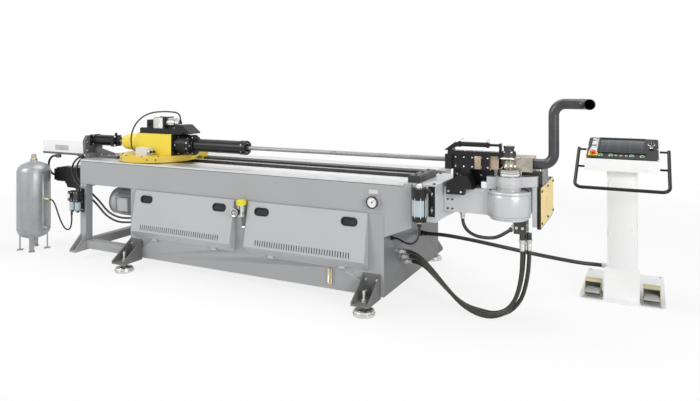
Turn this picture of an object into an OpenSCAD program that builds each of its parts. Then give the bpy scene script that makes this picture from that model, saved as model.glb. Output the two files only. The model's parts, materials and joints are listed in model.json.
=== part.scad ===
// Mandrel pipe bending machine with air tank and operator console.
// Lengths are millimetres, Z is up, the floor is Z = 0 and the pipe runs along X.
// Modules work from the bending end of the cabinet's front edge; placed() centres the whole machine.

/* [Bed and cabinet] */
// Height of the bed's top face above the floor
bed_top = 907; // [870:1:940]
// Length of the bed box
bed_len = 3260; // [3200:10:3400]
// Width of the bed box, front to back
bed_w = 956; // [930:2:1000]
// Height of the bed box
bed_h = 225; // [200:5:250]
// Plate thickness of the bed box
bed_wall = 15; // [10:1:20]
// How far the bed passes the cabinet at the bending end
bed_nose = 204; // [180:2:230]
// Height of the nose's side plates where they meet the cabinet
nose_deep = 164; // [120:2:200]
// Height of the nose's side plates at their outer end
nose_shallow = 81; // [60:2:100]
// Length of the cabinet under the bed
cab_len = 2423; // [2400:1:2500]
// Depth of the cabinet
cab_w = 1236; // [1200:2:1300]
// Open height under the cabinet
cab_gap = 90; // [85:1:110]
// Sheet thickness of the cabinet
cab_wall = 8; // [5:1:10]
// Side of the square post under the tail of the bed
post_w = 75; // [60:1:90]

/* [Rails] */
// Depth of the channel that the rails lie in
channel_depth = 45; // [42:1:60]
// Rail width
rail_w = 34; // [28:1:45]
// Rail height
rail_h = 36; // [30:1:40]
// Distance from the bed's front face to the front rail
rail_front = 215; // [205:1:240]
// Distance between the two rails
rail_pitch = 510; // [480:2:520]
// Running gap around each rail inside its runner block
rail_clear = 0.5; // [0.3:0.1:1]

/* [Doors] */
// Width of the tail-side door
door_a_w = 1055; // [1000:1:1100]
// Width of the bending-side door
door_b_w = 1036; // [980:1:1050]
// How far a door stands proud of the cabinet at its lower edge
door_out = 75; // [50:1:90]
// Sheet thickness of a door
door_wall = 3; // [2:0.5:4]
// Louvre slots in each door
louvre_count = 38; // [20:1:40]

/* [Pipe line] */
// Height of the pipe's centre line above the floor
pipe_z = 1060; // [1056:1:1080]
// Distance of the pipe's centre line behind the cabinet's front face
pipe_y = 300; // [296:1:304]
// Outside diameter of the pipe
pipe_d = 70; // [60:1:72]
// Wall of the pipe
pipe_wall = 2; // [1.5:0.5:4]
// Diameter of the mandrel rod
rod_d = 35; // [25:1:40]
// Running gap on radius between sliding or turning pieces
run_gap = 0.3; // [0.2:0.05:0.5]

/* [Bending head] */
// Distance of the bend axis from the cabinet's bending end
bend_x = 830; // [820:1:850]
// Centre line radius of the bend
bend_r = 76; // [74:1:80]
// Radius of the drum under the arm
drum_r = 141; // [130:1:142]
// Height of the drum
drum_h = 178; // [150:1:190]
// Thickness of the arm's hub plate
hub_h = 70; // [60:1:72]
// Underside height of the arm's hub plate above the floor
hub_z = 905; // [900:1:912]
// Length of the bending arm's side
arm_len = 570; // [500:5:580]
// Height of the bending arm's side
arm_h = 271; // [240:1:280]
// Height of the die stack
die_h = 130; // [120:1:135]

/* [Carriage] */
// Radius of the round front of the carriage plate
plate_r = 345; // [320:1:360]
// Thickness of the carriage plate
plate_t = 52; // [45:1:55]
// Length of the gearbox
gear_len = 410; // [380:2:440]
// Width of the gearbox
gear_w = 220; // [200:2:240]
// Outside diameter of the chuck collar
chuck_d = 180; // [150:1:182]
// Length of the chuck collar
chuck_len = 177; // [150:1:190]
// Outside diameter of the nose tube
nose_d = 114; // [104:1:120]
// Length of the nose tube
nose_len = 572; // [500:2:600]

/* [Tail end] */
// Outside diameter of the mandrel cylinder
mandrel_cyl_d = 90; // [80:1:95]
// Length of the mandrel cylinder
mandrel_cyl_len = 325; // [300:5:340]
// Length of the cover behind the mandrel cylinder
cover_len = 580; // [500:5:620]
// Diameter of the air tank
tank_d = 300; // [260:2:320]
// Height of the air tank without its cap
tank_h = 850; // [800:5:900]
// Diameter of the pump motor
motor_d = 250; // [220:2:270]

/* [Levelling feet] */
// Diameter of a levelling pad
pad_d = 160; // [140:2:180]
// Thickness of a levelling pad
pad_h = 38; // [30:1:45]
// Diameter of a levelling screw
screw_d = 24; // [16:1:30]

/* [Console] */
// Width of the console's base plate
base_w = 580; // [540:5:600]
// Depth of the console's base plate
base_l = 800; // [760:5:820]
// Thickness of the console's base plate
base_t = 12; // [8:1:20]
// Side of the console column
column_w = 210; // [180:2:230]
// Width of the console box
box_w = 505; // [480:1:520]
// Height of the console box's lower edge above the floor
box_z = 960; // [950:1:970]
// Diameter of the handrail tube
handrail_d = 25; // [20:1:28]

/* [Hoses] */
// Diameter of a hydraulic hose
hydraulic_d = 28; // [24:1:32]
// Diameter of the control conduit
conduit_d = 30; // [25:1:34]
// Diameter of the hose under the neck
neck_hose_d = 24; // [20:1:26]
// Diameter of the conduit under the tail cover
cover_loop_d = 22; // [18:1:23]
// Diameter of an air hose
air_d = 14; // [12:1:16]

/* [Hidden] */
$fn = 64;
e = 0.01;
gap = 0.3;

bed_bottom = bed_top - bed_h;
bed_x0 = bed_nose - bed_len;
channel_floor = bed_top - channel_depth;
channel_y0 = rail_front - 35;
channel_y1 = rail_front + rail_pitch + 35;
rail_top = channel_floor + rail_h;
rail_y = [rail_front, rail_front + rail_pitch];

// Door outline: clearance, upper thickness, proud edge height and foot height
door_top = bed_bottom - 4;
door_edge_z = 336;
door_foot_z = 262;
door_lip = 12;
door_margin = 73;
door_between = 135;
door_a_x = door_margin - cab_len;
door_b_x = door_a_x + door_a_w + door_between;
hinge_y = -8;
hinge_z = door_foot_z - 5;
hinge_pin = 6;
knuckle_d = 12;
knuckle_l = 50;
lug_l = 15;
louvre_w = 7;
louvre_h = 42;
louvre_z = 352;
louvre_margin = 104;
filler = [door_b_x - 43, -42, 600];
gauge_x = -79;
gauge_z = 763;
sight_x = [-440, -408];
knob_dx = -22;
pull_w = 128;
pull_margin = 138;
pull_h = 62;
pull_drop = 70;
pull_depth = 30;

bend_y = pipe_y - bend_r;
neck_front = bend_y - 14;
neck_back = 500;
neck_top = 876;
neck_bottom = 700;
bolster_x1 = 374;
bolster_y = [28, 624];
bolster_z = 650;
drum_z = 702;
drum_top = drum_z + drum_h;
spindle_r = 60;
neck_r = 80;
hub_r = 90;
hub_top = hub_z + hub_h;
arm_in = drum_r + 5;
cheek_t = 31;
side_t = 25;
guard_t = 3;
arm_front = bend_y + 46;
arm_x = bend_x + arm_in;
arm_top = hub_z - 2;
arm_floor_t = 20;
clamp_travel = 60;
groove_r = pipe_d / 2 + 0.4;
tool_z = pipe_z - 52;
tool_top = pipe_z + 48;
die_z = pipe_z + 46 - die_h;
die_r = bend_r - 1;
die_ring_r = die_r - 12;
post_r = 34;
seat = 0.1;
post_seat = 6;
nut_r = 47;
tie_z = tool_top + gap;
tie_t = 28;
tie_y = [195, 262];
tie_cyl_d = 34;
tie_cyl_z = tie_z + tie_t + 45;
tie_travel = 60;
tie_lug_x = 764;
tail_x = 420;
wiper_tip = bend_x - 130;
wiper_y = [bend_y - 8, pipe_y - 36];
tower_x = [386, 430];

// Carriage stations along the pipe, from the gearbox's rear face
gear_x = bed_x0 + 511;
gear_x1 = gear_x + gear_len;
bell_len = 255;
chuck_x = gear_x1 + gap;
chuck_x1 = chuck_x + chuck_len;
nose_x1 = chuck_x1 + nose_len;
spindle_bore = 80;
nose_bore = 80;
plate_top = bed_top + 8 + plate_t;
plate_cx = gear_x + 145;
gear_top = pipe_z + 95;
drive_z = gear_top + gap;
drive_base_h = 48;
servo_w = 96;
cable_box = [130, 80, 62];
cable_box_x = gear_x + 65;

mandrel_x = bed_x0 - 159;
mandrel_end = mandrel_x + mandrel_cyl_len;
piston_x = mandrel_x + 115;
support_t = 20;
end_plate_w = 220;
end_plate_top = 1105;
end_plate_t = 35;
cover_top = 1100;
cover_wall = 3;
plug_len = 170;
rod_end = 815;

motor_y = 300;
motor_z = 493;
motor_len = 360;
pump_flange = 107;
motor_x = -cab_len - pump_flange - motor_len;
tank_x = bed_x0 - 644;
tank_y = 0;
tank_r = tank_d / 2;
tank_foot = 110;
feed_z = [640, 800];
feed_y = [130, 290];
feed_x = bed_x0 - 364;

pad_y_front = -138;
pad_y_back = cab_w + 138;
pad_x_right = -92;
pad_x_left = 2 - cab_len;
bracket_w = 136;
bracket_out = 215;
bracket_z = 75;
bracket_top = door_foot_z - 12;

base_x0 = 1215;
base_y0 = 865;
column_x = base_x0 + base_w / 2;
column_y = 1000;
box_x0 = column_x - box_w / 2;
box_y0 = 900;
box_l = 390;
box_front_h = 87;
box_rise = 125;
slope = atan(box_rise / box_l);
slope_len = sqrt(box_rise * box_rise + box_l * box_l);
panel_t = 6;
handrail_w = 630;
handrail_slope = 36;
handrail_len = 432;
handrail_bend = 50;
handrail_y = 800;
handrail_z = 846;
pedal_dx = 200;
pedal_w = 118;
pedal_l = 225;
pedal_wall = 4;
pedal_pin = 8;

// Overall limits that the frame is centred on
right_end = column_x + handrail_w / 2 + handrail_d / 2;
left_end = tank_x - tank_r;
front_end = -bracket_out - 3;
back_end = base_y0 + base_l;
centre_x = (left_end + right_end) / 2;
centre_y = (front_end + back_end) / 2;

// Hose routes, each from its first fitting to its last
hydraulic_routes = [
    [[40, 230, 372], [90, 230, 372], [175, 224, 352], [280, 210, 275], [395, 195, 165], [510, 180, 68],
     [620, 172, 22], [720, 170, 18], [815, 178, 60], [880, 192, 160], [912, 206, 300], [920, 212, 430],
     [920, 212, 540]],
    [[40, 290, 320], [90, 290, 320], [175, 282, 302], [280, 265, 228], [395, 245, 130], [510, 226, 52],
     [625, 214, 20], [730, 210, 17], [835, 214, 58], [910, 224, 150], [948, 236, 290], [960, 245, 430],
     [960, 245, 540]],
    [[40, 350, 268], [90, 350, 268], [175, 341, 250], [280, 322, 180], [395, 297, 95], [510, 273, 35],
     [625, 256, 18], [730, 250, 18], [815, 250, 60], [875, 254, 155], [909, 260, 295], [920, 264, 430],
     [920, 264, 540]]
];
neck_hose = [[486, 300, 672], [486, 300, 640], [494, 298, 600], [520, 292, 562], [562, 284, 538],
             [610, 275, 528], [665, 265, 528], [720, 255, 537], [760, 247, 554], [795, 240, 577],
             [836, 236, 606]];
conduit_route = [[40, 700, 400], [100, 700, 400], [220, 704, 402], [420, 718, 386], [660, 755, 350],
                 [870, 850, 300], [1065, 985, 245], [1220, 1070, 212], [1310, 1100, 205],
                 [1360, 1100, 205]];
conduit_end = conduit_route[len(conduit_route) - 1];
tank_hose = [[-3490, 0, 500], [-3455, 0, 500], [-3417, -4, 485], [-3380, -8, 445], [-3340, -14, 382],
             [-3290, -21, 312], [-3234, -29, 262], [-3177, -37, 249], [-3135, -44, 275], [-3114, -49, 323],
             [-3110, -50, 360], [-3110, -50, 395]];
tail_hoses = [
    [[bed_x0 - 64, 125, 926], [bed_x0 - 99, 125, 926], [bed_x0 - 184, 108, 880], [bed_x0 - 229, 100, 810],
     [bed_x0 - 219, 98, 730], [bed_x0 - 144, 98, 650], [bed_x0 - 34, 100, 570], [bed_x0 + 96, 104, 480],
     [-417 - cab_len, 110, 385], [-277 - cab_len, 112, 342], [-137 - cab_len, 112, 348],
     [-57 - cab_len, 112, 360], [-17 - cab_len, 112, 360]],
    [[bed_x0 - 64, 155, 926], [bed_x0 - 89, 155, 926], [bed_x0 - 140, 140, 898], [bed_x0 - 172, 112, 835],
     [bed_x0 - 169, 102, 745], [bed_x0 - 114, 98, 676], [bed_x0 - 4, 100, 602], [bed_x0 + 121, 106, 515],
     [-397 - cab_len, 114, 420], [-277 - cab_len, 118, 382], [-137 - cab_len, 118, 385],
     [-57 - cab_len, 112, 395], [-17 - cab_len, 112, 395]]
];
filter_hose = [[282, -48, 630], [282, -48, 604], [275, -43, 566], [253, -27, 527], [215, 0, 498],
               [168, 34, 484], [122, 68, 482], [84, 98, 486], [50, 118, 488], [20, 118, 488]];
cover_loop = [[-3620, 200, 890], [-3650, 200, 890], [-3697, 200, 877], [-3732, 200, 842], [-3745, 200, 795],
              [-3732, 200, 747], [-3697, 200, 713], [-3650, 200, 700], [-3620, 200, 700]];
arch_route = [[-2492, 150, 1000], [-2518, 150, 1000], [-2548, 151, 1008], [-2570, 153, 1030],
    [-2579, 157, 1060],
              [-2588, 165, 1110], [-2588, 178, 1165], [-2568, 192, 1225], [-2527, 205, 1276],
              [-2470, 217, 1316],
              [-2395, 229, 1342], [-2310, 239, 1353], [-2225, 246, 1355], [-2142, 250, 1350],
              [-2111, 250, 1342],
              [-2088, 250, 1320], [-2080, 250, 1290], [-2080, 250, 1262]];
arch_end = arch_route[len(arch_route) - 1];

// Moves a piece from the cabinet's corner to the centre of the machine's footprint
module placed() { translate([-centre_x, -centre_y, 0]) children(); }

// Box from its lowest and highest corners
module block(a, b) { translate(a) cube(b - a); }

// Rod of diameter d along X from x0 to x1
module x_rod(x0, x1, d) { translate([x0, 0, 0]) rotate([0, 90, 0]) cylinder(h = x1 - x0, d = d); }

// Same, centred on the pipe line
module on_pipe() { translate([0, pipe_y, pipe_z]) children(); }

// Outline in (Y, Z) drawn out along X from x0 to x1
module yz_extrude(x0, x1) { translate([x0, 0, 0]) rotate([90, 0, 90]) linear_extrude(x1 - x0) children(); }

// Outline in (X, Z) drawn out along Y from y0 to y1
module xz_extrude(y0, y1) { translate([0, y1, 0]) rotate([90, 0, 0]) linear_extrude(y1 - y0) children(); }

// Slot outline of width w and height h with round ends
module slot_outline(w, h) {
    square([w - h, h], center = true);
    for (s = [-1, 1]) translate([s * (w - h) / 2, 0]) circle(d = h);
}

function unit(v) = v / norm(v);
function tangent(path, i) =
    unit(path[min(i + 1, len(path) - 1)] - path[max(i - 1, 0)]);

// Ring of points around station i of a path, turned from the reference direction
function ring(path, i, r, sides, ref) =
    let (t = tangent(path, i), u = unit(cross(t, ref)), v = cross(t, u))
    [for (k = [0:sides - 1]) path[i] + r * (cos(360 * k / sides) * u + sin(360 * k / sides) * v)];

// Closed tube swept along a path of points
module swept_tube(path, d, sides = 10, ref = [0, 1, 0]) {
    n = len(path);
    points = [for (i = [0:n - 1]) each ring(path, i, d / 2, sides, ref)];
    walls = [for (i = [0:n - 2], k = [0:sides - 1], h = [0, 1])
        let (a = i * sides + k, b = i * sides + (k + 1) % sides)
        h == 0 ? [a, b, b + sides] : [a, b + sides, a + sides]];
    first = [for (k = [1:sides - 2]) [0, k + 1, k]];
    last = [for (k = [1:sides - 2]) [(n - 1) * sides, (n - 1) * sides + k, (n - 1) * sides + k + 1]];
    polyhedron(points = points, faces = concat(walls, first, last), convexity = 8);
}

// Threaded ports on the cabinet's two ends, one for each hose that leaves it
module cabinet_ports() {
    for (r = hydraulic_routes) translate([0, r[0][1], r[0][2]]) x_rod(-e, r[0][0], hydraulic_d + 8);
    translate([0, conduit_route[0][1], conduit_route[0][2]]) x_rod(-e, conduit_route[0][0], conduit_d + 10);
    translate([0, filter_hose[9][1], filter_hose[9][2]]) x_rod(-e, filter_hose[9][0], air_d + 10);
    for (r = tail_hoses) let (p = r[len(r) - 1])
        translate([0, p[1], p[2]]) x_rod(p[0], e - cab_len, air_d + 12);
}

module cabinet_shell() color("silver") placed() {
    cabinet_ports();
    hinge_pins(door_a_x, door_a_w);
    hinge_pins(door_b_x, door_b_w);
    cabinet_box();
}

module cabinet_box() difference() {
    block([-cab_len, 0, cab_gap], [0, cab_w, bed_bottom]);
    block([cab_wall - cab_len, cab_wall, cab_gap + cab_wall],
        [-cab_wall, cab_w - cab_wall, bed_bottom - cab_wall]);
    for (d = [[door_a_x, door_a_w], [door_b_x, door_b_w]])
        block([d[0] + 40, -1, door_foot_z + 40], [d[0] + d[1] - 40, cab_wall + 1, door_top - 30]);
    translate([-cab_len - 1, motor_y, motor_z]) rotate([0, 90, 0]) cylinder(h = cab_wall + 2, r = 70);
}

module bed_beam() color("silver") placed() {
    difference() {
        block([bed_x0, 0, bed_bottom], [bed_nose, bed_w, bed_top]);
        block([bed_x0 - 1, channel_y0, channel_floor], [bed_nose + 1, channel_y1, bed_top + 1]);
        block([bed_x0 - 1, bed_wall, bed_bottom + bed_wall],
              [bed_nose - bed_wall, bed_w - bed_wall, channel_floor - bed_wall]);
    }
    for (y = [0, bed_w - bed_wall]) xz_extrude(y, y + bed_wall)
        polygon([[gap, bed_bottom + bed_wall / 2], [bed_nose, bed_bottom + bed_wall / 2],
                 [bed_nose, bed_bottom - nose_shallow], [gap, bed_bottom - nose_deep]]);
}

module guide_rails() color("dimgray") placed() {
    for (y = rail_y) difference() {
        block([bed_x0 + 60, y - rail_w / 2, channel_floor], [bed_nose - 50, y + rail_w / 2, rail_top]);
        for (s = [-1, 1]) translate([0, y + s * rail_w / 2, channel_floor + rail_h / 2])
            rotate([45, 0, 0]) cube([2 * bed_len + 1000, 6, 6], center = true);
    }
    block([bed_x0 + 60, rail_y[1] - 150, channel_floor], [bed_nose - 50, rail_y[1] - 120, rail_top - 8]);
    xz_extrude(channel_y0 - 100, rail_y[0] + 235) polygon([[bed_nose - 54, bed_top + gap],
        [bed_nose + 36, bed_top + gap], [bed_nose + 36, bed_top + 40], [bed_nose + 26, bed_top + 50],
        [bed_nose - 44, bed_top + 50], [bed_nose - 54, bed_top + 40]]);
}

// Hinge stations of a door of width w that starts at x0
function hinge_x(x0, w) = [x0 + 0.2 * w, x0 + 0.8 * w];

// Lugs and pins on the cabinet's front that carry a door
module hinge_pins(x0, w) for (x = hinge_x(x0, w)) {
    inner = knuckle_l / 2 + gap;
    for (s = [x - inner - lug_l, x + inner])
        block([s, hinge_y - knuckle_d / 2, hinge_z - knuckle_d / 2], [s + lug_l, 1, door_foot_z - 2 * gap]);
    translate([0, hinge_y, hinge_z]) x_rod(x - inner - 1, x + inner + 1, hinge_pin);
}

// Knuckles under a door's foot, bored for the pins
module door_knuckles(x0, w) for (x = hinge_x(x0, w)) difference() {
    union() {
        translate([0, hinge_y, hinge_z]) x_rod(x - knuckle_l / 2, x + knuckle_l / 2, knuckle_d);
        block([x - knuckle_l / 2, hinge_y - 3, hinge_z],
            [x + knuckle_l / 2, hinge_y + 3, door_foot_z + 4 * door_wall - 1]);
    }
    translate([0, hinge_y, hinge_z]) x_rod(x - knuckle_l, x + knuckle_l, hinge_pin + 2 * run_gap);
}

// Door sheet: a wedge that stands proud at its lower edge, open at the back
module door_sheet(x0, w) {
    profile = [[-gap, door_foot_z], [-door_out, door_edge_z], [-door_lip, door_top], [-gap, door_top]];
    inner = [[1, door_foot_z + 3 * door_wall], [door_wall - door_out, door_edge_z + 2 * door_wall],
             [door_wall - door_lip, door_top - door_wall], [1, door_top - door_wall]];
    pitch = (w - 2 * louvre_margin) / louvre_count;
    difference() {
        yz_extrude(x0, x0 + w) polygon(profile);
        yz_extrude(x0 + door_wall, x0 + w - door_wall) polygon(inner);
        for (i = [0:louvre_count - 1])
            block([x0 + louvre_margin + i * pitch, -door_out - 5, louvre_z],
                  [x0 + louvre_margin + i * pitch + louvre_w, -door_out + 25, louvre_z + louvre_h]);
        for (x = [x0 + pull_margin, x0 + w - pull_margin]) translate([x, 0, door_top - pull_drop])
            rotate([90, 0, 0]) linear_extrude(door_out) slot_outline(pull_w, pull_h);
    }
}

// Recessed pull cup seated in its slot near a door's upper corner
module pull_cup(x) {
    lean = atan((door_out - door_lip) / (door_top - door_edge_z));
    front = -door_lip - pull_drop * tan(lean) - 4;
    translate([x, front, door_top - pull_drop]) rotate([90 , 0, 0]) difference() {
        translate([0, 0, -pull_depth + 14]) linear_extrude(pull_depth - 12)
            slot_outline(pull_w - 2, pull_h - 2);
        translate([0, 0, -pull_depth + 18]) linear_extrude(pull_depth)
            slot_outline(pull_w - 14, pull_h - 14);
    }
}

module door(x0, w) {
    door_sheet(x0, w);
    door_knuckles(x0, w);
    for (x = [x0 + pull_margin, x0 + w - pull_margin]) pull_cup(x);
}

module door_left() color("lightgray") placed() door(door_a_x, door_a_w);
module door_right() color("lightgray") placed() door(door_b_x, door_b_w);

// Pad centres as [x, y, side], side -1 at the front and +1 at the back
pads = [[pad_x_right, pad_y_front, -1], [pad_x_right, pad_y_back, 1],
        [pad_x_left + 66, pad_y_front, -1], [pad_x_left + 66, pad_y_back, 1]];

// Welded bracket that reaches out over one pad
module foot_bracket(p) {
    root = p[2] < 0 ? 0 : cab_w;
    reach = bracket_out;
    cheek = 10;
    translate([p[0], root, 0]) scale([1, p[2], 1]) difference() {
        union() {
            block([-bracket_w / 2, gap, bracket_z], [bracket_w / 2, reach, bracket_z + 14]);
            for (x = [-bracket_w / 2, bracket_w / 2 - cheek])
                yz_extrude(x, x + cheek)
                    polygon([[gap, bracket_z + 13], [reach, bracket_z + 13], [reach, bracket_z + 24],
                        [gap, bracket_top]]);
            block([-bracket_w / 2, gap, bracket_z + 13], [bracket_w / 2, 12, bracket_top - 2]);
        }
        translate([0, abs(p[1] - root), bracket_z - 1]) cylinder(h = 20, d = screw_d + 1);
    }
}

module foot_brackets() color("gray") placed() for (p = pads) foot_bracket(p);

module levelling_feet() color("gainsboro") placed() for (p = pads) translate([p[0], p[1], 0]) {
    rotate_extrude() polygon([[0, 0], [pad_d / 2 - 3, 0], [pad_d / 2, 6], [pad_d / 2, 20],
        [pad_d / 2 - 6, 22],
        [pad_d / 2 - 6, pad_h - 6], [pad_d / 2 - 12, pad_h], [0, pad_h]]);
    translate([0, 0, pad_h - e]) cylinder(h = 130, d = screw_d);
    for (z = [bracket_z - 22, bracket_z + 14 + gap])
        translate([0, 0, z]) cylinder(h = 20, d = screw_d * 1.7, $fn = 6);
}

module end_stand() color("gray") placed() {
    z = bracket_z + 15;
    for (y = [0, bed_w - post_w])
        block([bed_x0, y, z], [bed_x0 + post_w, y + post_w, bed_bottom]);
    block([bed_x0, post_w - e, z], [bed_x0 + post_w, bed_w - post_w + e, z + post_w]);
    for (y = [0, bed_w - post_w])
        block([bed_x0 + post_w - e, y, z], [-cab_len, y + post_w, z + post_w]);
    block([bed_x0, -120, bracket_z], [bed_x0 + post_w, post_w, z + e]);
    for (x = [bed_x0, bed_x0 + post_w - 10])
        yz_extrude(x, x + 10) polygon([[e, z], [-120, z], [-120, z + 10], [e, z + 130]]);
}

module pump_motor() color("gray") placed() translate([motor_x, motor_y, motor_z]) {
    r = motor_d / 2;
    rotate([0, 90, 0]) rotate_extrude() polygon([[0, 0], [r - 40, 0], [r - 12, 12], [r, 34], [r, 90],
        [r - 10, 92], [r - 10, motor_len - 22], [r + 4, motor_len - 20], [r + 4, motor_len],
        [0, motor_len]]);
    for (a = [0:15:345]) rotate([a, 0, 0]) block([92, -2, r - 12], [motor_len - 24, 2, r]);
    translate([150, -r - 30, -60]) cube([130, 60, 120]);
}

module hydraulic_pump() color("dimgray") placed() translate([motor_x + motor_len + gap, motor_y, motor_z]) {
    flange = -cab_len - motor_x - motor_len - 2 * gap;
    x_rod(0, flange, 190);
    x_rod(flange - e, flange + cab_wall + 30, 130);
    x_rod(flange + cab_wall + 29, flange + cab_wall + 170, 110);
    translate([flange + cab_wall + 60, -30, 40]) cube([60, 60, 50]);
}

module oil_gauges() color("gainsboro") placed() {
    translate([gauge_x, -gap, gauge_z]) rotate([90, 0, 0]) {
        cylinder(h = 12, d = 85);
        cylinder(h = 34, d = 70);
    }
    block([gauge_x - 36, -4 - gap, gauge_z + 59], [gauge_x + 36, -gap, gauge_z + 87]);
    difference() {
        block([sight_x[0], -22 - gap, door_foot_z - 130], [sight_x[1], -gap, door_foot_z - 18]);
        block([sight_x[0] + 8, -30, door_foot_z - 112], [sight_x[1] - 8, -12, door_foot_z - 36]);
    }
}

module filler_breather() color("gold") placed() translate([filler[0], filler[1], 0]) {
    translate([0, 0, filler[2] + 52]) cylinder(h = 34, d = 76);
    translate([0, 0, filler[2] - 40]) cylinder(h = 92 + e, d = 50);
    block([-28, 0, filler[2] - 25], [28, -filler[1] - gap, filler[2] + 45]);
    translate([knob_dx, -8, filler[2]]) rotate([90, 0, 0]) cylinder(h = 16, d = 34);
    translate([22, 0, filler[2] - 130]) cylinder(h = 130, d = 28);
    block([6, -12, filler[2] - 60], [30, 12, filler[2]]);
}

module valve_knob() color("black") placed()
    translate([filler[0] + knob_dx, filler[1] - 24 - gap, filler[2]]) rotate([90, 0, 0]) {
    cylinder(h = 14, d = 26);
    difference() {
        translate([0, 0, 14 - e]) cylinder(h = 26, d = 66);
        for (a = [0:30:330]) rotate([0, 0, a]) translate([36, 0, 10]) cylinder(h = 40, d = 12);
    }
}

module head_bolster() color("silver") placed() {
    block([bed_nose + gap, bolster_y[0], bolster_z], [bolster_x1, bolster_y[1], bed_top]);
    xz_extrude(neck_front + 30, neck_front + 50)
        polygon([[bolster_x1 - e, bolster_z], [bolster_x1 + 86, neck_bottom - gap],
            [bolster_x1 - e, neck_bottom - gap]]);
}

module head_beam() color("silver") placed() {
    difference() {
        block([bolster_x1 + gap, neck_front, neck_bottom], [bend_x - drum_r - gap, neck_back, neck_top]);
        block([bolster_x1 - 1, neck_front + 20, neck_bottom + 20],
            [bend_x - drum_r - 40, neck_back - 20, neck_top - 25]);
        translate([bend_x, bend_y, drum_z]) cylinder(h = drum_h, r = drum_r + gap);
    }
    translate(neck_hose[0]) cylinder(h = neck_bottom - neck_hose[0][2] + 1, d = neck_hose_d + 10);
}

module drum_housing() color("silver") placed() difference() {
    union() {
        translate([bend_x, bend_y, drum_z]) rotate_extrude()
            polygon([[0, 0], [drum_r - 20, 0], [drum_r - 6, 6],
            [drum_r, 22], [drum_r, drum_h - 40], [drum_r - 6, drum_h - 18], [drum_r - 22, drum_h - 4],
            [drum_r - 32, drum_h], [0, drum_h]]);
        block([bend_x - drum_r, bend_y, drum_z + 20], [bend_x + drum_r, neck_back, drum_top - 12]);
        translate([bend_x, bend_y, drum_top - e]) cylinder(h = hub_z - drum_top - gap, r = neck_r);
        translate([bend_x, bend_y, drum_z - 14]) cylinder(h = 14 + e, r = drum_r - 16);
    }
    translate([bend_x, bend_y, drum_z - 20]) cylinder(h = 260, r = spindle_r);
}

module swivel_manifold() color("black") placed() {
    z = drum_z - 14 - gap;
    entry = neck_hose[10] - neck_hose[9];
    block([bend_x + 40, bend_y - 50, z - 90], [bend_x + 122, bend_y + 48, z]);
    for (r = hydraulic_routes) let (p = r[len(r) - 1])
        translate([p[0], p[1], p[2]]) cylinder(h = z - 90 - p[2] + e, d = hydraulic_d + 8, $fn = 24);
    translate(neck_hose[10]) rotate([0, 0, atan2(entry[1], entry[0])])
        rotate([0, acos(entry[2] / norm(entry)), 0]) cylinder(h = 60, d = neck_hose_d + 10, $fn = 24);
}

// Wiper die with its black holder and bracket on the neck, and the tower that carries the tie cylinder
module wiper_die() color("dimgray") placed() {
    difference() {
        union() {
            block([tower_x[1], wiper_y[0], tool_z], [wiper_tip, wiper_y[1], tool_top]);
            block([500, wiper_y[0], tool_z - 40], [560, wiper_y[1], tool_z + e]);
            xz_extrude(neck_front - 60, neck_front + 60)
                polygon([[410, neck_top + gap], [600, neck_top + gap], [560, tool_z - 39],
                    [500, tool_z - 39],
                         [410, neck_top + 40]]);
            block([410, neck_front - 60, neck_top - 42], [535, neck_front - gap, neck_top + gap + e]);
            block([tower_x[0], tie_y[0], tool_z - 4], [tower_x[1] + 5, wiper_y[1], tool_top]);
            block([tower_x[0], tie_y[0], tool_top - 4], [tower_x[1] + 5, pipe_y - 10, tie_z + tie_t + 10]);
        }
        on_pipe() x_rod(tower_x[0] - 1, wiper_tip + 1, pipe_d + 6);
        block([tower_x[0] - 1, 0, tie_z - gap], [tower_x[1] + 6, tie_y[1] + gap, tie_z + tie_t + gap]);
    }
    difference() {
        block([wiper_tip + gap, bend_y + 16, tool_z + 4], [bend_x - 2, pipe_y - 1, tool_top - 2]);
        on_pipe() x_rod(wiper_tip - 1, bend_x, 2 * groove_r);
        translate([bend_x, bend_y, tool_z - 10]) cylinder(h = 130, r = die_r + gap);
    }
}

module pressure_slide() color("dimgray") placed() difference() {
    block([400, 350, neck_top + gap], [700, neck_back - 8, tool_z - gap]);
    block([399, 420, tool_z - 30], [701, neck_back, tool_z]);
}

module pressure_die() color("gray") placed() difference() {
    block([560, pipe_y + 1, tool_z], [bend_x - 2, 400, tool_top]);
    on_pipe() x_rod(559, bend_x, 2 * groove_r);
}

module tie_cylinder() color("black") placed() translate([0, (tie_y[0] + tie_y[1]) / 2, tie_cyl_z])
    difference() {
    union() {
        x_rod(480, tie_lug_x - tie_travel - 12, tie_cyl_d);
        for (x = [478, tie_lug_x - tie_travel - 26]) block([x, -20, -20], [x + 16, 20, 20]);
        xz_extrude(-14, 14) polygon([[tower_x[0] + 4, tie_z + tie_t + 10 + gap - tie_cyl_z],
            [tower_x[1], tie_z + tie_t + 10 + gap - tie_cyl_z], [479, -16], [479, 12], [452, 12]]);
    }
    x_rod(505, 760, tie_cyl_d * 0.53 + 2 * run_gap);
}

// Bar that hooks on the die post, with its lug and the cylinder rod
module tie_bar() color("gray") placed() {
    y = (tie_y[0] + tie_y[1]) / 2;
    difference() {
        block([tower_x[0] + 20, tie_y[0], tie_z], [bend_x - 28, tie_y[1], tie_z + tie_t]);
        translate([bend_x, bend_y, tie_z - 1]) cylinder(h = tie_t + 2, r = nut_r + gap);
    }
    block([tie_lug_x, y - 16, tie_z + tie_t - e], [tie_lug_x + 16, y + 16, tie_cyl_z + 14]);
    translate([0, y, tie_cyl_z]) x_rod(600, tie_lug_x + e, tie_cyl_d * 0.53);
}

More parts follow.
